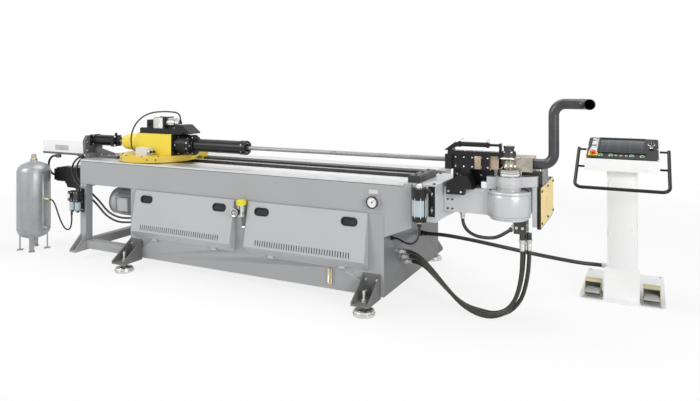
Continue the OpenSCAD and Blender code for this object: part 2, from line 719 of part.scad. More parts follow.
// Hub plate on its spindle, with the long cheek and top flange of the arm
module arm_casting() color("silver") placed() {
    translate([bend_x, bend_y, 0]) difference() {
        union() {
            translate([0, 0, hub_z]) linear_extrude(hub_h) {
                circle(r = hub_r);
                polygon([[60, -40], [arm_in + cheek_t, 58], [arm_in + cheek_t, 108], [-20, 108], [-20, 0]]);
            }
            translate([0, 0, drum_z - 6]) cylinder(h = hub_z - drum_z + 10, r = spindle_r - run_gap);
            block([-drum_r - 9, -14, drum_top + 2], [-neck_r - 4, 38, hub_z + 5]);
            block([-drum_r - 9, -14, hub_z + 1], [-50, 38, hub_top - 10]);
        }
        translate([0, 0, hub_z + post_seat]) cylinder(h = hub_h, r = post_r + seat);
    }
    block([arm_x, arm_front, arm_top - arm_h], [arm_x + cheek_t, arm_front + arm_len, arm_top]);
    block([bend_x + 50, arm_front + 50, arm_top - arm_floor_t], [arm_x + 5, arm_front + arm_len, arm_top]);
    block([arm_x + 2, arm_front + 14, arm_top - 30], [arm_x + cheek_t - 2, arm_front + 58, hub_z + 30]);
}

module arm_side_plate() color("dimgray") placed() {
    x = arm_x + cheek_t + gap;
    block([x, arm_front, arm_top - arm_h - 12], [x + side_t, arm_front + arm_len, arm_top]);
}

module arm_guard() color("gold") placed() {
    x = arm_x + cheek_t + gap + side_t + gap;
    difference() {
        block([x, arm_front, arm_top - arm_h], [x + guard_t, arm_front + arm_len, arm_top - 2]);
        translate([x - 1, arm_front + 0.42 * arm_len, arm_top - arm_h / 2]) rotate([90, 0, 90])
            linear_extrude(guard_t + 2) rotate(90) slot_outline(90, 16);
        for (y = [25, arm_len - 25], z = [25, arm_h - 25])
            translate([x - 1, arm_front + y, arm_top - z]) rotate([0, 90, 0])
                cylinder(h = guard_t + 2, d = 9);
    }
}

// Bend die stack with its straight grip insert
module bend_die() color("silver") placed() {
    difference() {
        translate([bend_x, bend_y, die_z]) rotate_extrude()
            polygon([[post_r + seat, 0], [die_r, 0], [die_r, 10],
            [die_ring_r, 14], [die_ring_r, 22], [die_r, 26], [die_r, die_h - 6], [die_r - 6, die_h],
            [post_r + seat, die_h]]);
        translate([bend_x, bend_y, pipe_z]) rotate_extrude() translate([bend_r, 0]) circle(r = groove_r);
    }
    difference() {
        block([bend_x + post_r + 6, bend_y + 16, tool_z], [bend_x + 153, pipe_y - 1, tool_top - 2]);
        on_pipe() x_rod(bend_x, bend_x + 154, 2 * groove_r);
    }
}

module die_post() color("dimgray") placed() translate([bend_x, bend_y, 0]) {
    translate([0, 0, hub_z + post_seat + gap]) cylinder(h = 1181 - hub_z - post_seat - gap, r = post_r);
    translate([0, 0, die_z + die_h]) cylinder(h = 40, r = nut_r);
    translate([0, 0, 1166]) cylinder(h = 15, r = post_r + 4, $fn = 6);
}

module clamp_slide() color("slategray") placed() {
    block([bend_x + 60, 345, arm_top + gap], [arm_x + cheek_t + side_t, 600, tool_z - 4]);
    translate([0, 600 - e, hub_z + 55]) rotate([-90, 0, 0]) translate([arm_x - 30, 0, 0])
        cylinder(h = 60, d = 40);
}

module clamp_die() color("gray") placed() difference() {
    block([bend_x + 5, pipe_y + 1, tool_z - 4 + gap], [bend_x + 153, 395, tool_top]);
    on_pipe() x_rod(bend_x, bend_x + 160, 2 * groove_r);
}

module sample_solid(d) {
    leg_x = 1112;
    top_z = 1471;
    end_x = 1345;
    end_y = 200;
    r = bend_r;
    on_pipe() x_rod(bend_x + gap, leg_x - r, d);
    translate([leg_x, pipe_y, pipe_z + r]) cylinder(h = top_z - pipe_z - 2 * r, d = d);
    translate([0, pipe_y, top_z]) x_rod(leg_x + r, end_x - r, d);
    translate([end_x, pipe_y - r, top_z]) rotate([90, 0, 0]) cylinder(h = pipe_y - r - end_y, d = d);
    translate([leg_x - r, pipe_y, pipe_z + r]) rotate([90, 0, 0]) rotate([0, 0, -90])
        rotate_extrude(angle = 90) translate([r, 0]) circle(d = d);
    translate([leg_x + r, pipe_y, top_z - r]) rotate([90, 0, 0]) rotate([0, 0, 90])
        rotate_extrude(angle = 90) translate([r, 0]) circle(d = d);
    translate([end_x - r, pipe_y - r, top_z])
        rotate_extrude(angle = 90) translate([r, 0]) circle(d = d);
}

module sample_pipe() color("dimgray") placed() difference() {
    sample_solid(pipe_d);
    sample_solid(pipe_d - 2 * pipe_wall);
    on_pipe() x_rod(bend_x - 1, bend_x + 1, pipe_d - 2 * pipe_wall);
    translate([1345, 201, 1471]) rotate([90, 0, 0]) cylinder(h = 5, d = pipe_d - 2 * pipe_wall);
}

module pipe_tail() color("dimgray") placed() on_pipe() difference() {
    x_rod(tail_x, bend_x - gap, pipe_d);
    x_rod(tail_x - 1, bend_x, pipe_d - 2 * pipe_wall);
}

module carriage_plate() color("gold") placed() {
    translate([plate_cx, 0, plate_top - plate_t]) linear_extrude(plate_t) {
        translate([0, plate_r - 20]) circle(r = plate_r);
        translate([-200, plate_r - 20]) square([400, rail_y[1] + 60 - plate_r + 20]);
    }
    for (x = [-150, 150], y = rail_y) difference() {
        block([plate_cx + x - 55, y - 34, channel_floor + 8],
            [plate_cx + x + 55, y + 34, plate_top - plate_t + e]);
        block([plate_cx + x - 60, y - rail_w / 2 - rail_clear, channel_floor],
              [plate_cx + x + 60, y + rail_w / 2 + rail_clear, rail_top + rail_clear]);
    }
}

module carriage_gearbox() color("gold") placed() difference() {
    union() {
        block([gear_x, pipe_y - gear_w / 2, plate_top], [gear_x1, pipe_y + gear_w / 2, gear_top]);
        on_pipe() rotate([0, -90, 0]) translate([0, 0, -gear_x - e]) rotate_extrude()
            polygon([[0, 0], [75, 0], [75, bell_len - 60], [70, bell_len - 32], [58, bell_len - 12],
                     [40, bell_len], [0, bell_len]]);
        block([gear_x1 - 30, pipe_y - gear_w / 2, plate_top], [gear_x1, pipe_y + gear_w / 2, gear_top - 8]);
    }
    on_pipe() x_rod(gear_x - bell_len - 10, gear_x1 + 1, spindle_bore);
}

module spindle_drive() color("black") placed() {
    y0 = pipe_y - 80;
    y1 = pipe_y + 60;
    block([gear_x + 10, y0, drive_z], [gear_x1 + 95, y1, drive_z + drive_base_h]);
    translate([gear_x, y0, drive_z + drive_base_h]) {
        block([165, 10, -e], [283, 10 + servo_w, servo_w]);
        block([75, 20, -e], [165 + e, servo_w, 70]);
        block([283 - e, 0, -e], [309, servo_w + 20, servo_w + 8]);
        translate([0, 10 + servo_w / 2, 52]) {
            x_rod(309 - e, 395, 84);
            x_rod(395 - e, 435, 56);
        }
    }
    difference() {
        xz_extrude(y0, y1) polygon([[gear_x1 + 15, drive_z + drive_base_h - e],
            [gear_x1 + 15, drive_z + 84],
            [gear_x1 + 95, drive_z + 84], [gear_x1 + 190, drive_z + 14], [gear_x1 + 182, drive_z + 6],
            [gear_x1 + 94, drive_z + 20]]);
        on_pipe() x_rod(gear_x1, gear_x1 + 200, chuck_d + 8);
    }
}

module cable_junction() color("gray") placed() {
    block([cable_box_x, 110, plate_top], [cable_box_x + cable_box[0], 110 + cable_box[1] - gap,
        plate_top + cable_box[2]]);
    translate([0, arch_route[0][1], arch_route[0][2]]) x_rod(arch_route[0][0], cable_box_x + e, 22);
    for (y = [128, 165]) translate([0, y, plate_top + 30])
        x_rod(cable_box_x + cable_box[0] - e, cable_box_x + cable_box[0] + 40, 24);
    translate([arch_end[0], arch_end[1], drive_z + 84]) cylinder(h = arch_end[2] - drive_z - 84, d = 24);
}

module chuck_collar() color("black") placed() on_pipe() difference() {
    union() {
        x_rod(chuck_x, chuck_x1, chuck_d);
        x_rod(chuck_x1 - e, chuck_x1 + 22, chuck_d - 34);
    }
    x_rod(chuck_x - 1, chuck_x1 + 30, nose_d + 2 * gap);
    for (a = [30:60:330]) rotate([a, 0, 0]) translate([chuck_x + 60, 0, chuck_d / 2])
        cube([44, 22, 14], center = true);
}

module nose_tube() color("black") placed() on_pipe() difference() {
    union() {
        x_rod(chuck_x + 20, nose_x1, nose_d);
        x_rod(nose_x1 - 62, nose_x1 - 8, nose_d + 8);
        translate([nose_x1 - 8 - e, 0, 0]) rotate([0, 90, 0])
            cylinder(h = 8, r1 = nose_d / 2 + 4, r2 = nose_d / 2 - 4);
    }
    x_rod(chuck_x, nose_x1 + 1, nose_bore);
}

module collet() color("silver") placed() on_pipe() difference() {
    x_rod(nose_x1 - 110, nose_x1 - 4, nose_bore - 2 * run_gap);
    x_rod(nose_x1 - 111, nose_x1, pipe_d + 1);
    for (a = [0:60:300]) rotate([a, 0, 0]) block([nose_x1 - 80, -1, 0], [nose_x1, 1, nose_bore]);
}

module mandrel_support() color("gray") placed() {
    z = bed_top + gap;
    block([mandrel_x - end_plate_t - cover_len, pipe_y - 100, z],
        [bed_x0 + 250, pipe_y + 100, z + support_t]);
    difference() {
        yz_extrude(mandrel_x - end_plate_t, mandrel_x - gap)
            polygon([[pipe_y - end_plate_w / 2 + 18, z + support_t - e],
            [pipe_y + end_plate_w / 2 - 18, z + support_t - e], [pipe_y + end_plate_w / 2, 1050],
            [pipe_y + 80, end_plate_top], [pipe_y - 80, end_plate_top], [pipe_y - end_plate_w / 2, 1050]]);
        on_pipe() x_rod(mandrel_x - end_plate_t - 1, mandrel_x + 1, 44);
    }
    xz_extrude(pipe_y - 8, pipe_y + 8) polygon([[mandrel_x - gap - e, z + support_t - e],
        [mandrel_end - 60, z + support_t - e],
        [mandrel_end - 60, z + support_t + 14], [mandrel_x - gap - e, pipe_z - mandrel_cyl_d / 2 - 14]]);
    block([bed_x0 + 10, rail_y[0] + rail_w / 2 + 6, channel_floor + gap],
        [bed_x0 + 240, pipe_y + 100, z + e]);
    block([bed_x0 - 64, 108, z], [bed_x0 - 10, pipe_y - 99, z + 38]);
    block([cover_loop[0][0], cover_loop[0][1] - 16, cover_loop[0][2] - 16],
          [cover_loop[0][0] + 40, cover_loop[0][1] + 16, z + e]);
    xz_extrude(pipe_y - 60, pipe_y + 60) polygon([[bed_x0 - gap, z + e], [bed_x0 - gap, bed_bottom + 130],
        [bed_x0 - 60, bed_bottom + 130], [mandrel_x - 200, z + e]]);
}

module mandrel_cylinder() color("black") placed() on_pipe() difference() {
    union() {
        x_rod(mandrel_x, mandrel_end, mandrel_cyl_d);
        for (x = [mandrel_x, mandrel_end - 45]) block([x, -52, -52], [x + 32, 52, 52]);
        for (y = [-40, 40], z = [-40, 40]) translate([0, y, z]) x_rod(mandrel_x + 10, mandrel_end - 20, 12);
        translate([mandrel_end - 32, 0, 50]) cylinder(h = 20, d = 26);
        x_rod(mandrel_end - e, mandrel_end + 26, 62);
    }
    x_rod(mandrel_x + 20, mandrel_end - 24, 62);
    x_rod(mandrel_end - 30, mandrel_end + 30, rod_d + 2 * run_gap);
}

module mandrel_rod() color("silver") placed() on_pipe() {
    x_rod(piston_x, rod_end, rod_d);
    x_rod(piston_x, piston_x + 30, 62 - 2 * run_gap);
    x_rod(rod_end - plug_len, rod_end - 20, pipe_d - 2 * pipe_wall - 2 * run_gap);
    translate([rod_end - 20 - e, 0, 0]) rotate([0, 90, 0])
        cylinder(h = 20, r1 = pipe_d / 2 - pipe_wall - run_gap, r2 = rod_d / 2 + 4);
}

module mandrel_cover() color("gainsboro") placed() {
    x1 = mandrel_x - end_plate_t - gap;
    x0 = x1 - cover_len + 10;
    z = bed_top + gap + support_t + gap;
    outer = [[pipe_y - 100, z], [pipe_y + 100, z], [pipe_y + 108, 1050], [pipe_y + 76, cover_top],
             [pipe_y - 76, cover_top], [pipe_y - 108, 1050]];
    inner = [[pipe_y - 97, z - 1], [pipe_y + 97, z - 1], [pipe_y + 105, 1049],
        [pipe_y + 74, cover_top - cover_wall],
             [pipe_y - 74, cover_top - cover_wall], [pipe_y - 105, 1049]];
    difference() {
        yz_extrude(x0, x1) polygon(outer);
        yz_extrude(x0 + cover_wall, x1 + 1) polygon(inner);
    }
}

module feed_motor() color("dimgray") placed() {
    block([feed_x, feed_y[0], feed_z[0]], [bed_x0 - gap, feed_y[1], feed_z[1]]);
    xz_extrude(feed_y[0] + 10, feed_y[1] - 10) polygon([[feed_x, feed_z[0] + e],
        [feed_x + 20, feed_z[0] - 40],
        [feed_x + 170, feed_z[0] - 40], [feed_x + 220, feed_z[0] + e]]);
    block([feed_x - 140, feed_y[0] + 14, feed_z[0] + 14], [feed_x + e, feed_y[1] - 14, feed_z[1] - 14]);
    block([feed_x - 180, feed_y[0] + 20, feed_z[0] + 20],
        [feed_x - 140 + e, feed_y[1] - 20, feed_z[1] - 30]);
    translate(cover_loop[8]) x_rod(0, feed_x - 180 - cover_loop[8][0] + e, cover_loop_d + 8);
}

module left_filter_unit() color("dimgray") placed() translate([bed_x0 - 40, -52, 0]) {
    block([52, 46, 420], [96, 52 - gap, 640]);
    block([60, 20, 560], [88, 47, 600]);
    for (x = [0, 70]) translate([x, 0, 0]) {
        block([-30, -30, 530], [30, 30, 620]);
        translate([0, 0, 440]) cylinder(h = 90 + e, d = 52);
        translate([0, 0, 425]) cylinder(h = 16, d = 26);
    }
    block([29, -20, 560], [41, 20, 600]);
    translate([0, -30 + e, 580]) rotate([90, 0, 0]) cylinder(h = 18, d = 44);
    translate([70, 0, 620 - e]) cylinder(h = 34, d = 40);
    translate([-14, 2, 395]) cylinder(h = 31, d = air_d + 6);
}

module right_filter_unit() color("gainsboro") placed() {
    x = 282;
    y = -48;
    difference() {
        block([324, bolster_y[0] - 6, 690], [368, bolster_y[0] - gap, 898]);
        for (z = [735, 850]) translate([346, bolster_y[0] + 1, z]) rotate([90, 0, 0]) linear_extrude(9)
            rotate(90) slot_outline(46, 10);
    }
    block([x, y, 862], [350, bolster_y[0] - 5, 884]);
    translate([x, y, 0]) {
        translate([0, 0, 834]) cylinder(h = 60, d = 96);
        translate([0, 0, 894 - e]) cylinder(h = 26, d = 50);
        translate([0, 0, 690]) cylinder(h = 144 + e, d = 92);
        translate([0, 0, 668]) cylinder(h = 22 + e, d = 98);
        translate([0, 0, 630]) cylinder(h = 39, d = 30);
    }
}

module air_tank() color("slategray") placed() translate([tank_x, tank_y, 0]) {
    translate([0, 0, tank_foot]) rotate_extrude() polygon([[0, 0], [60, 4], [tank_r - 40, 26],
        [tank_r - 12, 52],
        [tank_r, 90], [tank_r, tank_h - tank_foot - 90], [tank_r - 12, tank_h - tank_foot - 52],
        [tank_r - 40, tank_h - tank_foot - 26], [60, tank_h - tank_foot - 4], [0, tank_h - tank_foot]]);
    translate([0, 0, tank_h - 10]) cylinder(h = 40, d = 64);
    translate([0, 0, tank_h + 30 - e]) cylinder(h = 40, d = 46, $fn = 6);
    for (a = [45:90:315]) rotate([0, 0, a]) {
        block([tank_r - 34, -22, 6], [tank_r - 26, 22, tank_foot + 60]);
        block([tank_r - 60, -26, 0], [tank_r - 4, 26, 6 + e]);
    }
    for (z = [tank_hose[0][2], 226]) translate([0, 0, z])
        x_rod(tank_r - 20, tank_r + 60, air_d + 14);
}

module console_stand() color("white") placed() {
    block([base_x0, base_y0, 0], [base_x0 + base_w, base_y0 + base_l, base_t]);
    difference() {
        block([column_x - column_w / 2, column_y, base_t - e],
            [column_x + column_w / 2, column_y + column_w, box_z - gap]);
        block([column_x - column_w / 2 + 4, column_y + 4, base_t + 4],
              [column_x + column_w / 2 - 4, column_y + column_w + 1, box_z + 1]);
    }
    block([column_x - column_w / 2 + 4 + gap, column_y + column_w - 4, 40],
          [column_x + column_w / 2 - 4 - gap, column_y + column_w, box_z - 20]);
    yz_extrude(column_x - column_w / 2 - 16, column_x + column_w / 2 + 16)
        polygon([[base_y0 + 6, base_t - e], [base_y0 + 6, base_t + 26], [base_y0 + 60, base_t + 72],
                 [column_y - 30, base_t + 150], [column_y + e, base_t + 210], [column_y + e, base_t - e]]);
    translate([0, conduit_end[1], conduit_end[2]])
        x_rod(conduit_end[0], column_x - column_w / 2 + e, conduit_d + 10);
}

module console_box() color("white") placed() {
    difference() {
        yz_extrude(box_x0, box_x0 + box_w) polygon([[box_y0, box_z], [box_y0, box_z + box_front_h],
            [box_y0 + box_l, box_z + box_front_h + box_rise], [box_y0 + box_l, box_z + 60],
            [box_y0 + 320, box_z]]);
        yz_extrude(box_x0 + 3, box_x0 + box_w - 3)
            polygon([[box_y0 + 3, box_z + 3], [box_y0 + 3, box_z + box_front_h - 3],
            [box_y0 + box_l - 3, box_z + box_front_h + box_rise - 5], [box_y0 + box_l - 3, box_z + 64],
            [box_y0 + 319, box_z + 3]]);
    }
    translate([box_x0 + box_w - 75, box_y0 + e, box_z + 22]) rotate([90, 0, 0]) cylinder(h = 7, d = 26);
}

// Places children on the console's sloping face, X across and Y up the slope
module on_panel() placed() translate([box_x0, box_y0, box_z + box_front_h]) rotate([slope, 0, 0])
    children();

panel_edge = 8;
screen = [[92, 118], [402, 382]];
button_spots = [[108, 62], [178, 62], [320, 62], [390, 62]];
stop_spot = [52, 80];
knob_spot = [450, 290];
key_spot = [450, 210];

module control_panel() color("black") on_panel() difference() {
    union() {
        block([panel_edge, panel_edge, gap], [box_w - panel_edge, slope_len - panel_edge, panel_t]);
        difference() {
            block([screen[0][0] - 14, screen[0][1] - 14, panel_t - e],
                [screen[1][0] + 14, screen[1][1] + 14, panel_t + 5]);
            block([screen[0][0], screen[0][1], panel_t + 2], [screen[1][0], screen[1][1], panel_t + 6]);
        }
        block([stop_spot[0] - 34, stop_spot[1] - 34, panel_t - e],
            [stop_spot[0] + 34, stop_spot[1] + 34, panel_t + 3]);
        for (v = [200, 250, 300, 350]) block([34, v, panel_t - e], [64, v + 24, panel_t + 3]);
        translate([key_spot[0], key_spot[1], panel_t - e]) cylinder(h = 8, d = 30);
    }
    for (p = button_spots) translate([p[0], p[1], gap - 1]) cylinder(h = 12, d = 17);
    translate([stop_spot[0], stop_spot[1], gap - 1]) cylinder(h = 20, d = 17);
    translate([knob_spot[0], knob_spot[1], gap - 1]) cylinder(h = 20, d = 17);
}

module push_buttons() color("green") on_panel() for (p = button_spots) translate([p[0], p[1], 0]) {
    translate([0, 0, 3.5]) cylinder(h = panel_t + 2.5, d = 16);
    translate([0, 0, panel_t + 4]) cylinder(h = 5, d = 24);
}

module emergency_stop() color("red") on_panel() translate([stop_spot[0], stop_spot[1], 0]) {
    translate([0, 0, 5]) cylinder(h = panel_t + 8, d = 16);
    translate([0, 0, panel_t + 12]) rotate_extrude()
        polygon([[0, 0], [14, 0], [20, 4], [20, 10], [15, 16], [0, 18]]);
}

module selector_knob() color("dimgray") on_panel() translate([knob_spot[0], knob_spot[1], 0]) {
    translate([0, 0, 1]) cylinder(h = panel_t + 6, d = 16);
    translate([0, 0, panel_t + 1]) cylinder(h = 8, d = 30);
    translate([-5, -15, panel_t + 8]) cube([10, 30, 14]);
}

// Bent tube in its own sloping plane, X across and Y up the slope
module handrail() color("dimgray") placed() {
    half = handrail_w / 2;
    b = handrail_bend;
    translate([column_x, handrail_y, handrail_z]) rotate([handrail_slope, 0, 0]) {
        for (s = [-1, 1]) translate([s * half, b, 0]) rotate([-90, 0, 0])
            cylinder(h = handrail_len - b, d = handrail_d);
        translate([b - half, 0, 0]) rotate([0, 90, 0]) cylinder(h = handrail_w - 2 * b, d = handrail_d);
        translate([half - b, b, 0]) rotate([0, 0, -90]) rotate_extrude(angle = 90) translate([b, 0])
            circle(d = handrail_d);
        translate([b - half, b, 0]) rotate([0, 0, 180]) rotate_extrude(angle = 90) translate([b, 0])
            circle(d = handrail_d);
    }
    for (v = [225, handrail_len - 14], s = [-1, 1]) {
        y = handrail_y + v * cos(handrail_slope);
        z = handrail_z + v * sin(handrail_slope);
        x = s < 0 ? column_x - half : box_x0 + box_w + gap;
        translate([0, y, z]) x_rod(x, x + half - box_w / 2 - gap, 16);
    }
}

// Centre line of each pedal across the base plate
pedal_x = [column_x - pedal_dx, column_x + pedal_dx];

module pedal_guards() color("khaki") placed() for (x = pedal_x)
    translate([x - pedal_w / 2, base_y0 + 4, base_t + gap]) {
    block([0, 0, 0], [pedal_w, pedal_l, 10]);
    difference() {
        for (s = [0, pedal_w - pedal_wall]) yz_extrude(s, s + pedal_wall)
            polygon([[60, 9], [pedal_l, 9], [pedal_l, 92], [120, 92], [90, 60]]);
        translate([-1, pedal_l - 30, 34]) rotate([0, 90, 0])
            cylinder(h = pedal_w + 2, d = pedal_pin + 2 * gap);
    }
    block([0, 120, 88], [pedal_w, pedal_l, 92]);
    block([0, pedal_l - pedal_wall, 9], [pedal_w, pedal_l, 92]);
}

// Pedal plate and its hinge barrel, at rest a little above its base
module pedal(x) color("gray") placed() translate([x, base_y0 + 4, base_t + gap]) {
    w = pedal_w / 2 - pedal_wall - 3;
    translate([-w, pedal_l - 30, 34]) rotate([0, 90, 0]) cylinder(h = 2 * w, d = 16);
    translate([-pedal_w / 2 - 1, pedal_l - 30, 34]) rotate([0, 90, 0])
        cylinder(h = pedal_w + 2, d = pedal_pin);
    yz_extrude(-w, w) polygon([[8, 40], [pedal_l - 30, 28], [pedal_l - 30, 40], [8, 54]]);
}

module pedal_left() pedal(pedal_x[0]);
module pedal_right() pedal(pedal_x[1]);

module hydraulic_hoses() color("black") placed() {
    for (r = hydraulic_routes) swept_tube(r, hydraulic_d);
    swept_tube(neck_hose, neck_hose_d);
}

module control_conduit() color("black") placed() swept_tube(conduit_route, conduit_d);

module air_hoses() color("black") placed() {
    swept_tube(tank_hose, air_d, 8);
    for (r = tail_hoses) swept_tube(r, air_d + 4, 8, [0, 0.8, -0.6]);
    swept_tube(cover_loop, cover_loop_d, 8);
    swept_tube(filter_hose, air_d, 8, [0.6, 0.8, 0]);
}

module carriage_cable() color("black") placed() swept_tube(arch_route, air_d, 8);

cabinet_shell();
bed_beam();
guide_rails();
door_left();
door_right();
foot_brackets();
levelling_feet();
end_stand();
pump_motor();
hydraulic_pump();
oil_gauges();
filler_breather();
valve_knob();
head_bolster();
head_beam();
drum_housing();
swivel_manifold();
wiper_die();
pressure_slide();
pressure_die();
tie_cylinder();
tie_bar();
arm_casting();
arm_side_plate();
arm_guard();
bend_die();
die_post();
clamp_slide();
clamp_die();
sample_pipe();
pipe_tail();
carriage_plate();
carriage_gearbox();
spindle_drive();
cable_junction();
chuck_collar();
nose_tube();
collet();
mandrel_support();
mandrel_cylinder();
mandrel_rod();
mandrel_cover();
feed_motor();
left_filter_unit();
right_filter_unit();
air_tank();
console_stand();
console_box();
control_panel();
push_buttons();
emergency_stop();
selector_knob();
handrail();
pedal_guards();
pedal_left();
pedal_right();
hydraulic_hoses();
control_conduit();
air_hoses();
carriage_cable();
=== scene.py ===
import bpy
import bmesh
import itertools
import json
import math
from mathutils import Matrix, Vector


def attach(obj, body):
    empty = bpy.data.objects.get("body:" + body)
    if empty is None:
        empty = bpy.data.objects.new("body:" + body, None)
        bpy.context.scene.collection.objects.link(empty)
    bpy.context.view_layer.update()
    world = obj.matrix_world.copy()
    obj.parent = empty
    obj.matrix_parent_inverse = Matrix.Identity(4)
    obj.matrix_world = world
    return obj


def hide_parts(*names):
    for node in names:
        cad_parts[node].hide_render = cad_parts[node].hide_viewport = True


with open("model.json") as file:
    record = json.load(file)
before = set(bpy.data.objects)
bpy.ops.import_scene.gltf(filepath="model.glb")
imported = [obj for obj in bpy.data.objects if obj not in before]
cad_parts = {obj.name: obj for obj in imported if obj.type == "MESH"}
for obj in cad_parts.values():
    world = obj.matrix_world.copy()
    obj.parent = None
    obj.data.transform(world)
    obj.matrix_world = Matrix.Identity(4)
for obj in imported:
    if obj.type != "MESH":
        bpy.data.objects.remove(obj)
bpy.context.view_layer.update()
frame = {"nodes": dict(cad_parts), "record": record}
scene = bpy.context.scene
nodes = frame["nodes"]

# The frame's origin seen from the cabinet's front corner at the bending end, in metres
CENTRE = Vector((-1.00875, 0.7235, 0))


def at(x, y, z):
    """A point given in millimetres from the cabinet's front corner, as metres in the frame."""
    return Vector((x / 1000, y / 1000, z / 1000)) - CENTRE


def show(name, data):
    """A new object in the scene."""
    made = bpy.data.objects.new(name, data)
    scene.collection.objects.link(made)
    return made


# Camera at the photograph's viewing angle; its focal length is in the photograph's pixels
FOCAL, PHOTO_WIDTH, SENSOR = 612, 700, 36
camera_data = bpy.data.cameras.new("camera")
camera_data.sensor_width = SENSOR
camera_data.lens = SENSOR * FOCAL / PHOTO_WIDTH
camera_data.shift_y = -0.1656
camera = show("camera", camera_data)
camera.location = at(1692, -4001, 1600)
camera.rotation_euler = (math.radians(90), 0, math.radians(26.1))
scene.camera = camera
scene.view_settings.view_transform = "Standard"

# ---- shader groups and materials ----

def wire(tree, socket, value):
    """Sets a socket to a plain value, or links another node's output to it."""
    if isinstance(value, bpy.types.NodeSocket):
        tree.links.new(value, socket)
    else:
        socket.default_value = value


def add(tree, kind, *inputs, **settings):
    """A node: inputs fill its sockets in order, in_NAME fills one by name, and other words are its settings."""
    node = tree.nodes.new(kind)
    named = {key[3:].replace("_", " "): settings.pop(key) for key in list(settings) if key.startswith("in_")}
    for key, value in settings.items():
        setattr(node, key, value)
    for number, value in enumerate(inputs):
        wire(tree, node.inputs[number], value)
    for label, value in named.items():
        wire(tree, node.inputs[label], value)
    return node


def calc(tree, operation, a, b, clamp=False):
    return add(tree, "ShaderNodeMath", a, b, operation=operation, use_clamp=clamp).outputs[0]


def ramp(tree, value, low, high, to_low=0.0, to_high=1.0):
    return add(tree, "ShaderNodeMapRange", value, low, high, to_low, to_high,
               interpolation_type="SMOOTHSTEP").outputs["Result"]


def mix_colour(tree, factor, a, b, blend="MIX"):
    node = add(tree, "ShaderNodeMix", data_type="RGBA", blend_type=blend)
    for number, value in ((0, factor), (6, a), (7, b)):
        wire(tree, node.inputs[number], value)
    return node.outputs[2]


def tinted(tree, colour, value):
    """A colour made lighter or darker by a value round one."""
    grey = add(tree, "ShaderNodeCombineColor", value, value, value)
    return mix_colour(tree, 1.0, colour, grey.outputs[0], "MULTIPLY")


def on_object(tree):
    return add(tree, "ShaderNodeTexCoord").outputs["Object"]


def noise(tree, scale, detail=3.0, rough=0.55):
    return add(tree, "ShaderNodeTexNoise", in_Vector=on_object(tree), in_Scale=scale, in_Detail=detail,
               in_Roughness=rough).outputs["Fac"]


def new_group(name, **inputs):
    """A shader group with named inputs, and Colour, Roughness and Height as its outputs."""
    tree = bpy.data.node_groups.new(name, "ShaderNodeTree")
    for label, value in inputs.items():
        kind = {4: "Color", 3: "Vector"}[len(value)] if isinstance(value, tuple) else "Float"
        socket = tree.interface.new_socket(label.replace("_", " "), in_out="INPUT", socket_type="NodeSocket" + kind)
        socket.default_value = value
    for label, kind in (("Colour", "Color"), ("Roughness", "Float"), ("Height", "Float")):
        tree.interface.new_socket(label, in_out="OUTPUT", socket_type="NodeSocket" + kind)
    return tree, tree.nodes.new("NodeGroupInput").outputs


def close_group(tree, colour, roughness, height):
    add(tree, "NodeGroupOutput", colour, roughness, height)
    return tree


def make_paint_group():
    """Sprayed paint: faint tone drift, orange peel, small scuffs and dust gathering towards the floor."""
    tree, given = new_group("sprayed_paint", Colour=(0.5, 0.5, 0.5, 1), Roughness=0.35, Drift=0.06, Peel=600.0,
                            Dust=0.15)
    scuff_tone, dust_tone = (0.28, 0.27, 0.25, 1), (0.36, 0.33, 0.29, 1)
    drift = calc(tree, "MULTIPLY", calc(tree, "SUBTRACT", noise(tree, 2.3, 4), 0.5), given["Drift"])
    scuff = ramp(tree, noise(tree, 38, 6, 0.7), 0.62, 0.78)
    height = add(tree, "ShaderNodeSeparateXYZ", on_object(tree)).outputs["Z"]
    low = ramp(tree, height, 0.35, 0.0)
    dust = calc(tree, "MULTIPLY", calc(tree, "MULTIPLY", low, noise(tree, 14, 5)), given["Dust"])
    painted = tinted(tree, given["Colour"], calc(tree, "ADD", drift, 1.0))
    worn = mix_colour(tree, calc(tree, "MULTIPLY", scuff, 0.12), painted, scuff_tone)
    rough = calc(tree, "ADD", given["Roughness"], calc(tree, "MULTIPLY", scuff, 0.18))
    rough = calc(tree, "ADD", rough, calc(tree, "MULTIPLY", dust, 1.2), clamp=True)
    return close_group(tree, mix_colour(tree, dust, worn, dust_tone), rough, noise(tree, given["Peel"], 2))


def make_metal_group():
    """Machined or drawn metal: fine lines along one direction, cloudy oil film and darker stains."""
    tree, given = new_group("machined_metal", Colour=(0.6, 0.6, 0.6, 1), Stain=(0.2, 0.18, 0.16, 1), Roughness=0.3,
                            Stain_amount=0.3, Lines=300.0, Direction=(0.03, 1, 1))
    stretched = add(tree, "ShaderNodeVectorMath", on_object(tree), given["Direction"], operation="MULTIPLY")
    lines = add(tree, "ShaderNodeTexNoise", in_Vector=stretched.outputs[0], in_Scale=given["Lines"],
                in_Detail=3.0).outputs["Fac"]
    cloud = noise(tree, 9, 5, 0.6)
    stain = calc(tree, "MULTIPLY", ramp(tree, cloud, 0.45, 0.72), given["Stain amount"])
    bright = tinted(tree, given["Colour"], calc(tree, "ADD", calc(tree, "MULTIPLY", lines, 0.3), 0.85))
    rough = calc(tree, "ADD", given["Roughness"],
                 calc(tree, "MULTIPLY", calc(tree, "SUBTRACT", cloud, 0.5), 0.35), clamp=True)
    return close_group(tree, mix_colour(tree, stain, bright, given["Stain"]), rough, lines)


